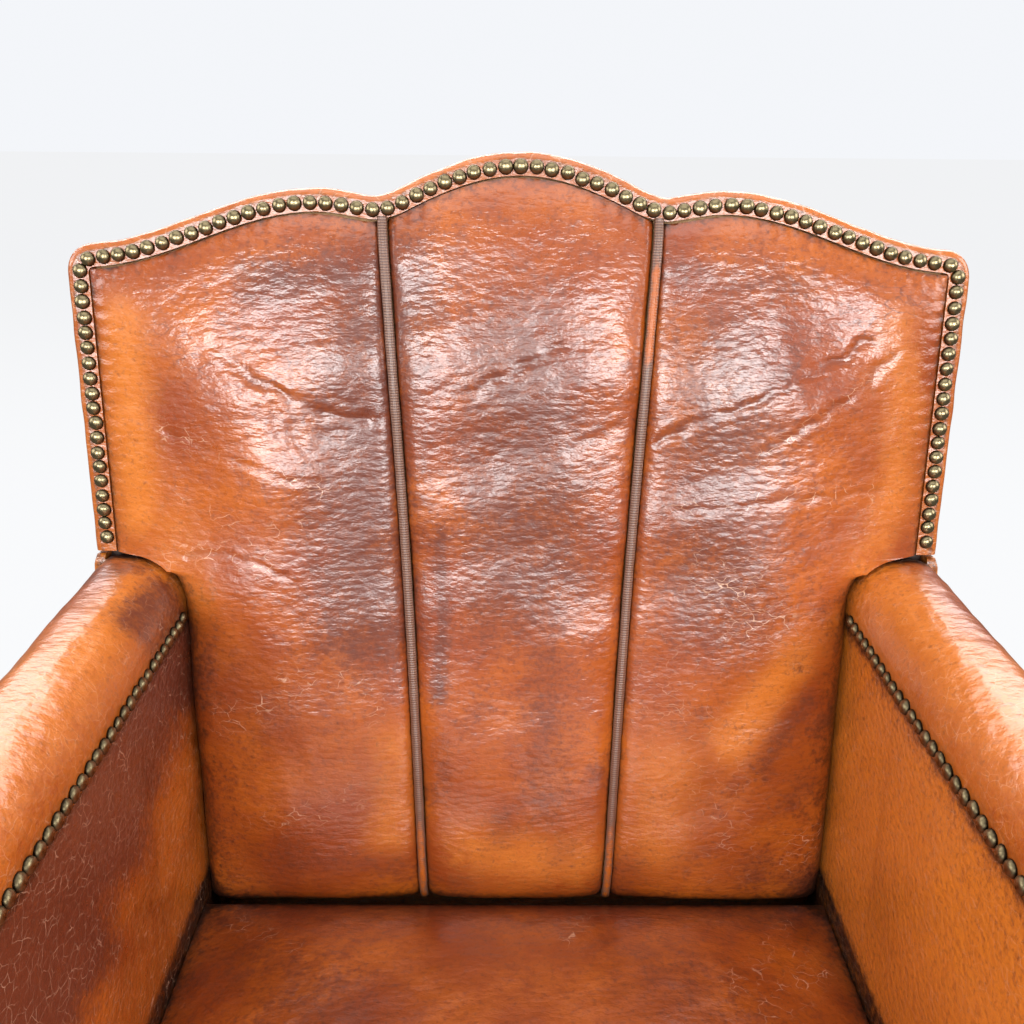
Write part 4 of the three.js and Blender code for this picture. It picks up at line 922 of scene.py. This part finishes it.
class CHAIR_OT_border(bpy.types.Operator):
    """Makes the leather border outside the nails and over the back's edge"""

    bl_idname = "chair.border"
    bl_label = "Border"

    def execute(self, context):
        line = nail_line()
        line[[0, -1], 1] = BORDER_FOOT
        path, way, _ = evenly(line, 620)
        path[[0, -1]] = line[[0, -1]]
        out = np.stack([-way[:, 1], way[:, 0]], -1)
        # The section, as distance out from the nail line and depth behind its plane: a strip under the
        # nails, a soft round over the proud edge, the side of the back, and a return under the leather.
        edge = NAIL_EDGE + CLEARANCE
        turn = np.linspace(0, np.pi / 2, 9)
        bend = 5
        proud = edge + BORDER_ROLL
        front = np.stack([np.linspace(-NAIL_EDGE, proud - bend, 8), np.zeros(8)], -1)[:-1]
        rounded = np.stack([proud - bend + bend * np.sin(turn), bend - bend * np.cos(turn)], -1)
        side = np.stack([np.linspace(proud, edge, 15)[1:], np.linspace(bend, BACK_DEPTH, 15)[1:]], -1)
        inner = [(edge - LEATHER, BACK_DEPTH), (edge - LEATHER, FRAME_FRONT - CLEARANCE),
                 (-NAIL_EDGE, FRAME_FRONT - CLEARANCE)]
        section = np.concatenate([front, rounded, side, inner])
        wave = 0.35 * lumps(path[:, 0], path[:, 1], 30, 8)[:, None] * (section[:, 1] > 1)
        reach = section[None, :, 0] + wave
        x = path[:, :1] + out[:, :1] * reach
        level = path[:, 1:] + out[:, 1:] * reach
        shape = tube(back_place(x, section[None, :, 1], level))
        strip = section[:, 0] + section[:, 1]
        # Dirt and painted shade: a thin dark band along the front strip just outside the nail line, under the
        # heads' edges.
        grime = np.exp(-np.abs(strip - 4.5) / 1.5) * (section[:, 1] < 1) * 0.8
        marks = {mark: np.append(values, [0, 0]) for mark, values in no_marks(
            x.shape, grime=grime[None, :], honey=0.5, dry=0.6,
            polish=0.4).items()}
        put_piece("back_edge_border", shape, leather("tan"), ["back_border"], marks)
        return {"FINISHED"}


SEAT_DRY = [
    ([(-224, 24), (-170, 59)], 7, 1.0),
    ([(63, 22), (43, 54)], 8, 0.9),
    ([(218, 24), (188, 60)], 6, 1.0),
    ([(230, 68), (183, 112)], 12, 1.0),
    ([(207, 62), (162, 90)], 12, 0.9),
]
SEAT_STAINS_AND_SHADE = [
    # Painted shade: a plum band along the crease at the back of the seat.
    ([(-250, 8), (250, 8)], 34, 0.75),
    ([(-210, 60), (-120, 130)], 60, 0.5),
    ([(120, 90), (200, 180)], 70, 0.45),
    ([(-60, 260), (80, 320)], 90, 0.5),
]


def seat_grid(columns, rows, roll_rows):
    """The seat's grid: x across, the flat depth from the rear, and the turn over the front roll."""
    half = SEAT_HALF - SEAM
    u = np.linspace(0, 1, columns + 1)
    x = lerp(-half, half, lerp(u, (1 - np.cos(np.pi * u)) / 2, 0.5))
    roll_y = FRONT_Y + SEAT_ROLL_RADIUS
    back_share = np.linspace(0, 1, rows + 1) ** 1.25
    flat = np.concatenate([lerp(SEAT_REAR_Y, roll_y, back_share), np.full(roll_rows, roll_y)])
    turn = np.concatenate([np.zeros(rows + 1), np.linspace(0, SEAT_ROLL_TURN, roll_rows + 1)[1:] * np.pi / 2])
    return np.meshgrid(x, flat) + [np.repeat(turn[:, None], columns + 1, 1)]


def seat_surface(x, flat, turn, inset):
    """The tight seat: a crown that falls off as the fourth power to the arms and sinks as e^-d into
    the crease at the back, then a round roll over the front."""
    half = SEAT_HALF - SEAM
    side = 1 - (np.abs(x) / half) ** 4
    sunk = 1 - np.exp(-(SEAT_REAR_Y - flat) / SEAT_ROLL_RADIUS)
    drop = SEAT_CROWN * (1 - side * sunk)
    radius = SEAT_ROLL_RADIUS - inset
    y = flat - radius * np.sin(turn)
    z = seat_line(flat) + SEAT_CROWN - SEAT_ROLL_RADIUS + radius * np.cos(turn)
    return y, z - drop * np.maximum(0, np.cos(turn))


class CHAIR_OT_seat(bpy.types.Operator):
    """Makes the tight stuffed seat"""

    bl_idname = "chair.seat"
    bl_label = "Seat"

    def execute(self, context):
        sizes = context.scene.chair_sizes
        x, flat, turn = seat_grid(150, 130, 34)
        y, z = seat_surface(x, flat, turn, 0)
        depth = SEAT_REAR_Y - flat + SEAT_ROLL_RADIUS * turn
        edge = SEAT_HALF - SEAM - np.abs(x)
        inside = smoothstep(np.minimum(edge, depth), 0, 50)
        uneven = sizes.unevenness / MM * (lumps(x, depth, 110, 31) + 0.4 * lumps(x, depth, 32, 32))
        near = np.stack([x, y, z + uneven * inside * np.cos(turn / 1.4)], -1)
        wall = ARM_FRONT_Y + CLEARANCE
        middle = x.shape[1] // 2
        roll_share = np.clip(turn / (SEAT_ROLL_TURN * np.pi / 2) * 2 - 1, 0, 1)
        low = hessian_top(np.minimum(y, SEAT_REAR_Y)) + CLEARANCE
        under_y = seat_surface(x, flat, turn, LEATHER + CLEARANCE)[0]
        floor_y = np.where(turn > 0, wall, under_y)
        floor_z = np.where(turn > 0, lerp(hessian_top(wall), z[-1, middle], roll_share), low)
        far = np.stack([x, floor_y, floor_z], -1)
        # Dirt and painted shade: darker into the crease at the back and beside the arms.
        grime = 0.85 * np.exp(-depth / 9) + 0.8 * np.exp(-edge / 9)
        marks = {"stain": painted(x, depth, SEAT_STAINS_AND_SHADE), "honey": 0 * x, "grime": np.clip(grime, 0, 1),
                 "dry": painted(x, depth, SEAT_DRY), "crackle": 0 * x, "fold": 0 * x,
                 "polish": 0.4 + 0 * x}
        marks = {mark: values.ravel() for mark, values in marks.items()}
        put_piece("seat_cushion", body_between(near, far), leather("tan"),
                  ["seat_cover", "seat_stuffing"], marks)
        return {"FINISHED"}


# Wear of the arm tops: distance from the back and distance from the inside face, a width, a strength
LEFT_ARM_STAINS = [
    ([(25, 6), (80, 10)], 16, 0.9),
    ([(15, 30), (25, 55)], 18, 0.6),
]
ARM_HONEY = [
    ([(15, 15), (140, 30)], 30, 0.9),
    ([(140, 30), (560, 35)], 40, 0.85),
]


def arm_section(count):
    """The arm pad's section as distance from the inside face and drop from the top: up the inner wall,
    a quarter round, over the top, a smaller quarter round and down the outer wall."""
    inner = np.linspace(np.pi, np.pi / 2, count)
    outer = np.linspace(np.pi / 2, 0, count // 2)
    wide = OUTER_HALF - SEAT_HALF
    wall = np.linspace(ARM_PAD_DEPTH, ARM_INNER_RADIUS, 6)[:-1]
    rear = np.linspace(ARM_OUTER_RADIUS, ARM_PAD_DEPTH, 10)[1:]
    across = np.concatenate([np.zeros_like(wall), ARM_INNER_RADIUS * (1 + np.cos(inner)),
                             wide - ARM_OUTER_RADIUS * (1 - np.cos(outer)), np.full_like(rear, wide)])
    drop = np.concatenate([wall, ARM_INNER_RADIUS * (1 - np.sin(inner)),
                           ARM_OUTER_RADIUS * (1 - np.sin(outer)), rear])
    return across, drop


class CHAIR_OT_arms(bpy.types.Operator):
    """Makes the rounded arm pads and the padded inside arms"""

    bl_idname = "chair.arms"
    bl_label = "Arms"

    def execute(self, context):
        sizes = context.scene.chair_sizes
        for name, sign in (("left", -1), ("right", 1)):
            self.pad(name, sign, sizes)
            self.inside(name, sign, sizes)
        return {"FINISHED"}

    def pad(self, name, sign, sizes):
        """The arm's section carried from the upright facing to the leaning back, softened by wear and
        drawn in a little at its front edge."""
        across, drop = arm_section(26)
        front, rear = arm_ends(drop)
        share = np.linspace(0, 1, 261)[:, None]
        run = share * np.linalg.norm(rear - front, axis=-1)
        tight = 2.2 * np.exp(-run / 4)
        middle = (OUTER_HALF - SEAT_HALF) / 2
        toward = np.stack([np.sign(middle - across), np.ones_like(drop)], -1)
        soft = sizes.unevenness / MM * (0.5 * lumps(run, across[None] * 2, 70, 41 + sign)
                                        + 0.25 * lumps(run, across[None] * 2, 22, 44 + sign))
        soft = soft * smoothstep(ARM_PAD_DEPTH - drop, 0, 18) * smoothstep(run, 0, 20)
        x = across + toward[:, 0] * tight * smoothstep(np.abs(middle - across), 0, 30)
        y = lerp(front[:, 0], rear[:, 0], share)
        z = lerp(front[:, 1], rear[:, 1], share) - tight * smoothstep(ARM_PAD_DEPTH - drop, 0, 30) + soft
        rings = np.stack([sign * (SEAT_HALF + x), y, z], -1)
        low_edge = smoothstep(-across, -4, 0) * smoothstep(drop, ARM_PAD_DEPTH - 14, ARM_PAD_DEPTH)
        from_rear = run[-1].mean() - run
        # Dirt and painted shade: darker where the pad meets the back and along its low inner edge.
        grime = 0.8 * np.exp(-from_rear / 7) + 0.5 * low_edge
        stain = np.zeros_like(x)
        if sign < 0:
            stain = painted(from_rear, across[None], LEFT_ARM_STAINS)
        honey = painted(from_rear, across[None], ARM_HONEY)
        marks = no_marks(x.shape, grime=np.clip(grime, 0, 1), stain=stain, honey=honey,
                         dry=0.35, polish=0.3)
        marks = {mark: np.append(values, [0, 0]) for mark, values in marks.items()}
        put_piece(f"arm_pad_{name}", tube(rings), leather("tan"),
                  [f"arm_cover_{name}", f"arm_stuffing_{name}"], marks)

    def inside(self, name, sign, sizes):
        """The inside arm: a padded panel swelled as a sine between its edges, from under the nails to
        below the seat, dying away where it passes behind the back."""
        top_front, top_rear = (end for end in arm_ends(ARM_PAD_DEPTH + CLEARANCE))
        plane_foot = back_place(0, 0, 0)[1:]
        rear_y = plane_foot[0] + (hessian_top(BACK_FOOT_Y) - plane_foot[1]) * math.tan(LEAN) - CLEARANCE
        foot_y = np.array([top_front[0], rear_y])
        foot = np.stack([foot_y, hessian_top(foot_y) + CLEARANCE], -1)
        u = np.linspace(0, 1, 141)[None, :]
        v = np.linspace(0, 1, 121)[:, None]
        y = lerp(lerp(foot[0, 0], foot[1, 0], u), lerp(top_front[0], top_rear[0], u), v)
        z = lerp(lerp(foot[0, 1], foot[1, 1], u), lerp(top_front[1], top_rear[1], u), v)
        seat_edge = seat_line(y) + SEAT_CROWN / 2
        top_z = lerp(top_front[1], top_rear[1], u)
        upper = np.clip((z - seat_edge) / (top_z - seat_edge), 0, 1)
        ends = np.sin(np.pi * np.clip(u / 0.8, 0, 1)) ** 0.7
        swell = INSIDE_ARM_SWELL * np.sin(np.pi * upper) * ends
        swell = swell + sizes.unevenness / MM * 0.7 * lumps(y, z, 80, 51 + sign) * np.sin(np.pi * upper)
        swell = swell + 0.5 * lumps(y + 0.6 * z, 0.2 * z, 18, 54 + sign) * np.sin(np.pi * upper)
        near = np.stack([sign * (SEAT_HALF - swell), y, z], -1)
        far = np.stack([np.full_like(y, sign * (POST_INNER - CLEARANCE)), y, z], -1)
        below = top_z - z
        # Dirt and painted shade: darker just under the arm pad and down at the seat.
        grime = 0.75 * np.exp(-below / 5) + 0.9 * np.exp(-np.maximum(0, z - seat_edge) / 10)
        if sign < 0:
            reach = below - 95 + 0.25 * (y - 60) + 22 * lumps(y + 0.75 * z, 0.1 * z, 40, 57)
            stain = 1 - smoothstep(reach, -45, 45)
            marks = no_marks(y.shape, grime=np.clip(grime, 0, 1), stain=stain, honey=0.45 * (1 - stain),
                             dry=0.5, polish=0.6)
        else:
            # A band darker just under the arm pad.
            stain = 0.6 * np.exp(-below / 16)
            marks = no_marks(y.shape, grime=np.clip(grime, 0, 1), stain=stain, honey=0.75, dry=0.3,
                             polish=0.4)
        tone = "plum" if sign < 0 else "amber"
        put_piece(f"inside_arm_cushion_{name}", body_between(near, far), leather(tone),
                  [f"inside_arm_{name}"], marks)


def patch(bottom, top, left, right):
    """A surface filled in between four edges (a Coons patch): the two ruled surfaces between facing
    edges, less the one through the corners."""
    u = np.linspace(0, 1, len(bottom))[None, :, None]
    v = np.linspace(0, 1, len(left))[:, None, None]
    ruled = lerp(bottom[None], top[None], v) + lerp(left[:, None], right[:, None], u)
    corners = lerp(lerp(bottom[0], bottom[-1], u), lerp(top[0], top[-1], u), v)
    return ruled - corners


def along_edge(corners, count):
    """That many points at even distances along an edge of straight stretches, its ends included."""
    corners = np.array(corners, float)
    reach = np.concatenate([[0], np.cumsum(np.linalg.norm(np.diff(corners, axis=0), axis=1))])
    at = np.linspace(0, reach[-1], count)
    return np.stack([np.interp(at, reach, part) for part in corners.T], -1)


def rim_gap(flat):
    """Each grid point's distance to the nearest edge of a flat grid, counted along its rows and
    columns."""
    across = np.linalg.norm(np.diff(flat, axis=1), axis=-1)
    up = np.linalg.norm(np.diff(flat, axis=0), axis=-1)
    from_left = np.concatenate([np.zeros((len(flat), 1)), np.cumsum(across, 1)], 1)
    from_foot = np.concatenate([np.zeros((1, flat.shape[1])), np.cumsum(up, 0)], 0)
    sides = [from_left, from_left[:, -1:] - from_left, from_foot, from_foot[-1:] - from_foot]
    return np.minimum.reduce(sides)


def panel_swell(flat, depth, sizes, seed):
    """The thickness of a stretched outer panel: full but for a small round along its edges, a little
    proud in the middle and uneven."""
    gap = rim_gap(flat)
    inside = smoothstep(gap, 0, 70)
    uneven = sizes.unevenness / MM * lumps(flat[..., 0], flat[..., 1], 120, seed)
    return depth - 2.4 * np.exp(-gap / 2.5) + (1.5 + uneven) * inside, gap


class CHAIR_OT_outside(bpy.types.Operator):
    """Makes the outer panels: the outside back, the outside arms, the facings and the front border"""

    bl_idname = "chair.outside"
    bl_label = "Outer Panels"

    def execute(self, context):
        sizes = context.scene.chair_sizes
        for name, sign in (("left", -1), ("right", 1)):
            self.outside_arm(name, sign, sizes)
            self.facing(name, sign, sizes)
        self.front(sizes)
        self.outside_back(sizes)
        return {"FINISHED"}

    def finish_panel(self, name, near, far, gap, tone, replaced, fill=None):
        """Puts a panel in, with dirt and painted shade along its edges and towards the skirt, and plum darker
        along its edges.
        """
        height = near[..., 2]
        # Dirt and painted shade: darker along the edges and towards the skirt.
        grime = 0.5 * np.exp(-gap / 5) + 0.35 * np.exp(-np.maximum(0, height - SKIRT_Z) / 40)
        marks = no_marks(gap.shape, grime=np.clip(grime, 0, 1), dry=0.4,
                         stain=0.5 * np.exp(-gap / 25), honey=0.25, polish=0.4)
        put_piece(name, body_between(near, far), leather(tone), replaced, marks)

    def outside_arm(self, name, sign, sizes):
        """A flat panel in the side view, from the arm pad to the frame's foot and back to the rear
        edge, which bends at the knee of the leg."""
        pad_front, pad_rear = arm_ends(ARM_PAD_DEPTH + CLEARANCE)
        foot = leg_point(SKIRT_Z, BACK_DEPTH)
        knee = back_place(0, BACK_DEPTH, KNEE_LEVEL)[1:]
        high = back_place(0, BACK_DEPTH, ARM_LEVEL)[1:]
        near_high = back_place(0, CLEARANCE, ARM_LEVEL)[1:]
        step = np.array([pad_rear[0] + 2 * CLEARANCE, pad_rear[1]])
        corner = np.array([pad_front[0], SKIRT_Z])
        flat = patch(along_edge([corner, foot], 141), along_edge([pad_front, step, near_high, high], 141),
                     along_edge([corner, pad_front], 101), along_edge([foot, knee, high], 101))
        swell, gap = panel_swell(flat, OUTER_HALF - PANEL_INNER, sizes, 61 + sign)
        swell = np.minimum(swell, OUTER_HALF - PANEL_INNER + 2)
        near = np.concatenate([sign * (PANEL_INNER + swell)[..., None], flat], -1)
        far = np.concatenate([np.full_like(swell, sign * PANEL_INNER)[..., None], flat], -1)
        self.finish_panel(f"outside_arm_leather_{name}", near, far, gap, "amber", [f"outside_arm_{name}"])

    def facing(self, name, sign, sizes):
        """The upright front of an arm, as wide at each height as the arm's section, and softly
        stuffed."""
        top = arm_top(ARM_FRONT_Y)
        v = np.linspace(0, 1, 161)
        z = lerp(SKIRT_Z, top - 0.4, lerp(v, np.sin(np.pi / 2 * v), 0.7))
        wide = OUTER_HALF - SEAT_HALF
        edges = []
        for radius in (ARM_INNER_RADIUS, ARM_OUTER_RADIUS):
            over = np.clip(z - (top - radius), 0, radius)
            edges.append(radius - np.sqrt(radius ** 2 - over ** 2))
        u = np.linspace(0, 1, 45)
        across = lerp(edges[0][:, None], (wide - edges[1])[:, None], u[None, :])
        flat = np.stack([across, np.repeat(z[:, None], 45, 1)], -1)
        swell, gap = panel_swell(flat, ARM_FRONT_Y - FACING_FRONT_Y, sizes, 64 + sign)
        x = sign * (SEAT_HALF + across)
        near = np.stack([x, ARM_FRONT_Y - swell, flat[..., 1]], -1)
        far = np.stack([x, np.full_like(x, ARM_FRONT_Y), flat[..., 1]], -1)
        self.finish_panel(f"arm_facing_leather_{name}", near, far, gap, "tan", [f"arm_facing_{name}"], 0.8)

    def front(self, sizes):
        """The flat border under the seat's front roll."""
        low, high = node_box("front_border")
        x = np.linspace(low[0], high[0], 141)
        z = np.linspace(low[2], high[2], 61)
        flat = np.stack(np.meshgrid(x, z), -1)
        swell, gap = panel_swell(flat, high[1] - low[1], sizes, 67)
        near = np.stack([flat[..., 0], high[1] - swell, flat[..., 1]], -1)
        far = np.stack([flat[..., 0], np.full_like(swell, high[1]), flat[..., 1]], -1)
        self.finish_panel("front_border_leather", near, far, gap, "tan", ["front_border"], 0.7)

    def outside_back(self, sizes):
        """One sheet down the rear of the frame: straight down the lean, bent at the knee and on to the
        skirt, with its top cut to the moustache."""
        half = BACK_EDGE - SEAM
        x = np.linspace(-half, half, 161)[None, :]
        foot = leg_point(SKIRT_Z, COVER_BACK)
        knee = back_place(0, COVER_BACK, KNEE_LEVEL)[1:]
        low = lerp(foot, knee, np.linspace(0, 1, 31)[:-1, None])
        level = lerp(KNEE_LEVEL, nail_level(x) + NAIL_EDGE, np.linspace(0, 1, 121)[:, None])
        upper = back_place(x, COVER_BACK, level)
        lower = np.stack(np.broadcast_arrays(x, low[:, :1], low[:, 1:]), -1)
        base = np.concatenate([lower, upper])
        flat = np.stack([base[..., 0], base[..., 2]], -1)
        swell, gap = panel_swell(flat, LEATHER, sizes, 68)
        swell = np.maximum(swell, 0.4)
        normal = np.array([0, math.cos(LEAN), -math.sin(LEAN)])
        self.finish_panel("outside_back_leather", base + swell[..., None] * normal, base, gap, "amber",
                          ["outside_back"])


class CHAIR_OT_feet(bpy.types.Operator):
    """Makes the tapered front feet, and finishes the wood, webbing and springs of the frame"""

    bl_idname = "chair.feet"
    bl_label = "Feet and Frame"

    def execute(self, context):
        colours = context.scene.chair_colours
        # Stained beech has dark pores drawn out along the grain. Bare beech, jute, hair, cloth and
        # wire show their own fibres.
        finishes = {
            "dark_wood": fibre_material("stained_beech", np.array(colours.wood) * 0.6, colours.wood, 3,
                                        (1, 1, 0.08), 0.38),
            "beech": fibre_material("sawn_beech", linear("#a97c50"), linear("#cda678"), 4, (1, 0.1, 1), 0.75),
            "jute": fibre_material("jute_weave", linear("#8a7048"), linear("#b59a6c"), 2, (1, 1, 1), 0.95),
            "hair_stuffing": fibre_material("curled_hair", linear("#33261b"), linear("#6b543d"), 2,
                                            (1, 0.3, 1), 0.95),
            "spring_steel": fibre_material("drawn_steel_wire", linear("#6e675f"), linear("#948b80"), 3,
                                           (1, 1, 0.4), 0.5, 1.0),
            "lining": fibre_material("black_cambric", linear("#15120f"), linear("#2b2622"), 1.5,
                                     (1, 1, 1), 0.95),
        }
        slots = {part["node"]: part["material_slot"] for part in frame["record"]["subparts"]}
        for node, slot in slots.items():
            if slot in finishes:
                mesh = frame["nodes"][node].data
                mesh.materials.clear()
                mesh.materials.append(finishes[slot])
        for name in ("left", "right"):
            self.foot(name, finishes["dark_wood"])
        return {"FINISHED"}

    def foot(self, name, wood):
        """A square foot with rounded corners (a superellipse of the sixth power) that tapers to the
        floor."""
        node = frame["nodes"][f"front_foot_{name}"]
        corners = np.array([v.co for v in node.data.vertices]) / MM
        low, high = corners.min(0), corners.max(0)
        at_floor = corners[corners[:, 2] < 1]
        floor_half = np.ptp(at_floor, axis=0)[:2] / 2
        top_half = (high - low)[:2] / 2
        middle = (low + high)[:2] / 2
        share = np.linspace(0, 1, 25)
        turn = np.linspace(0, 2 * np.pi, 48, endpoint=False)
        power = 2 / 6
        ring = np.stack([np.sign(np.cos(turn)) * np.abs(np.cos(turn)) ** power,
                         np.sign(np.sin(turn)) * np.abs(np.sin(turn)) ** power], -1)
        half = lerp(floor_half, top_half, share[:, None]) - 0.8 * np.exp(-share[:, None] * 60)
        flat = middle + ring[None] * half[:, None, :]
        z = np.repeat(lerp(low[2], high[2], share)[:, None], 48, 1)
        shape = tube(np.concatenate([flat, z[..., None]], -1))
        put_piece(f"front_foot_turned_{name}", shape, wood, [f"front_foot_{name}"], sharp=40)


class CHAIR_OT_stage(bpy.types.Operator):
    """Makes the pale floor, the soft studio light and the camera"""

    bl_idname = "chair.stage"
    bl_label = "Stage"

    def execute(self, context):
        scene = context.scene
        scene.view_settings.view_transform = "Standard"
        self.floor(scene)
        self.light(scene)
        self.camera(scene)
        return {"FINISHED"}

    def floor(self, scene):
        """A wide floor of matt paint, nearly white to the camera and grey to the light that bounces off it,
        so that the leather keeps its depth."""
        material, tree = new_material("matt_floor_paint")
        camera_ray = add_node(tree, "ShaderNodeLightPath").outputs["Is Camera Ray"]
        coat = add_node(tree, "ShaderNodeMix", {
            0: camera_ray, 6: (*linear("#62605d"), 1), 7: (*linear("#b4b4b3"), 1)},
            data_type="RGBA").outputs[2]
        paint = add_node(tree, "ShaderNodeBsdfDiffuse", {"Color": coat})
        white = add_node(tree, "ShaderNodeEmission", {
            "Color": (*scene.chair_colours.floor, 1), "Strength": 1.0})
        seen = add_node(tree, "ShaderNodeMath", {0: camera_ray, 1: 0.9}, operation="MULTIPLY").outputs[0]
        shader = add_node(tree, "ShaderNodeMixShader", {0: seen, 1: paint.outputs[0], 2: white.outputs[0]})
        add_node(tree, "ShaderNodeOutputMaterial", {"Surface": shader.outputs[0]})
        reach = 6000
        x, y = np.meshgrid([-reach, reach], [-reach, reach])
        corners = np.stack([x, y, 0 * x], -1).reshape(-1, 3) * MM
        mesh = bpy.data.meshes.new("studio_floor")
        mesh.from_pydata(corners.tolist(), [], grid_faces(2, 2).tolist())
        mesh.materials.append(material)
        floor = bpy.data.objects.new("studio_floor", mesh)
        scene.collection.objects.link(floor)

    def light(self, scene):
        """Surroundings that are white to the camera and dim to the leather, wide panels overhead and
        behind the chair and at its sides, and two windows behind the camera that give the back its sheen."""
        world = bpy.data.worlds.new("studio")
        scene.world = world
        world.use_nodes = True
        tree = world.node_tree
        tree.nodes.clear()
        seen = add_node(tree, "ShaderNodeLightPath").outputs["Is Camera Ray"]
        strength = add_node(tree, "ShaderNodeMapRange", {
            "Value": seen, "To Min": 0.22, "To Max": 0.97}).outputs["Result"]
        back = add_node(tree, "ShaderNodeBackground", {
            "Color": (*linear("#f7f9fd"), 1), "Strength": strength})
        add_node(tree, "ShaderNodeOutputWorld", {"Surface": back.outputs[0]})
        panels = {
            "overhead_panel": ((0, -300, 2900), (0, 0, 0), (2600, 2000), 30),
            "rear_panel": ((0, 1800, 2150), (math.radians(-60), 0, 0), (5600, 1400), 130),
            "left_wall": ((-2300, -300, 1700), (math.radians(65), 0, math.radians(-90)), (1600, 1200), 26),
            "right_wall": ((2300, -300, 1700), (math.radians(65), 0, math.radians(90)), (1600, 1200), 30),
            "left_window": ((-1080, -2850, 1780), (math.radians(75), 0, math.radians(-21)), (1500, 900), 72),
            "right_window": ((1130, -2850, 1780), (math.radians(75), 0, math.radians(21)), (1500, 900), 72),
        }
        for name, (place, turn, size, power) in panels.items():
            lamp = bpy.data.lights.new(name, "AREA")
            lamp.shape = "RECTANGLE"
            lamp.size, lamp.size_y = (side * MM for side in size)
            lamp.energy = power
            shown = bpy.data.objects.new(name, lamp)
            shown.location = [part * MM for part in place]
            shown.rotation_euler = turn
            shown.visible_camera = False
            scene.collection.objects.link(shown)

    def camera(self, scene):
        """The camera at the reference view: pitched down, with a slight yaw and roll."""
        lens = bpy.data.cameras.new("camera")
        lens.sensor_width = SENSOR_WIDTH
        lens.lens = FOCAL_PIXELS / IMAGE_PIXELS * SENSOR_WIDTH
        shown = bpy.data.objects.new("camera", lens)
        yaw, tilt, roll = (math.radians(a) for a in (CAMERA_YAW, 90 - CAMERA_PITCH, CAMERA_ROLL))
        turned = (Matrix.Rotation(yaw, 4, "Z") @ Matrix.Rotation(tilt, 4, "X")
                  @ Matrix.Rotation(roll, 4, "Z"))
        shown.matrix_world = Matrix.Translation([part * MM for part in CAMERA_PLACE]) @ turned
        scene.collection.objects.link(shown)
        scene.camera = shown


OPERATORS = (CHAIR_OT_stage, CHAIR_OT_back_panels, CHAIR_OT_piping, CHAIR_OT_border, CHAIR_OT_nails,
             CHAIR_OT_seat, CHAIR_OT_arms, CHAIR_OT_outside, CHAIR_OT_feet)


class CHAIR_PT_panel(bpy.types.Panel):
    """Lists the chair's pieces with their sizes and colours"""

    bl_idname = "CHAIR_PT_panel"
    bl_label = "Club Chair"
    bl_space_type = "VIEW_3D"
    bl_region_type = "UI"
    bl_category = "Club Chair"

    def draw(self, context):
        for group in (context.scene.chair_sizes, context.scene.chair_colours):
            for name in group.__annotations__:
                self.layout.prop(group, name)
        for operator in OPERATORS:
            self.layout.operator(operator.bl_idname)


CLASSES = (ChairSizes, ChairColours, *OPERATORS, CHAIR_PT_panel)


def register():
    for part in CLASSES:
        bpy.utils.register_class(part)
    bpy.types.Scene.chair_sizes = bpy.props.PointerProperty(type=ChairSizes)
    bpy.types.Scene.chair_colours = bpy.props.PointerProperty(type=ChairColours)


def unregister():
    del bpy.types.Scene.chair_sizes
    del bpy.types.Scene.chair_colours
    for part in reversed(CLASSES):
        bpy.utils.unregister_class(part)


def main():
    register()
    bpy.ops.chair.stage()
    bpy.ops.chair.back_panels()
    bpy.ops.chair.piping()
    bpy.ops.chair.border()
    bpy.ops.chair.nails()
    bpy.ops.chair.seat()
    bpy.ops.chair.arms()
    bpy.ops.chair.outside()
    bpy.ops.chair.feet()


if __name__ == "__main__":
    main()
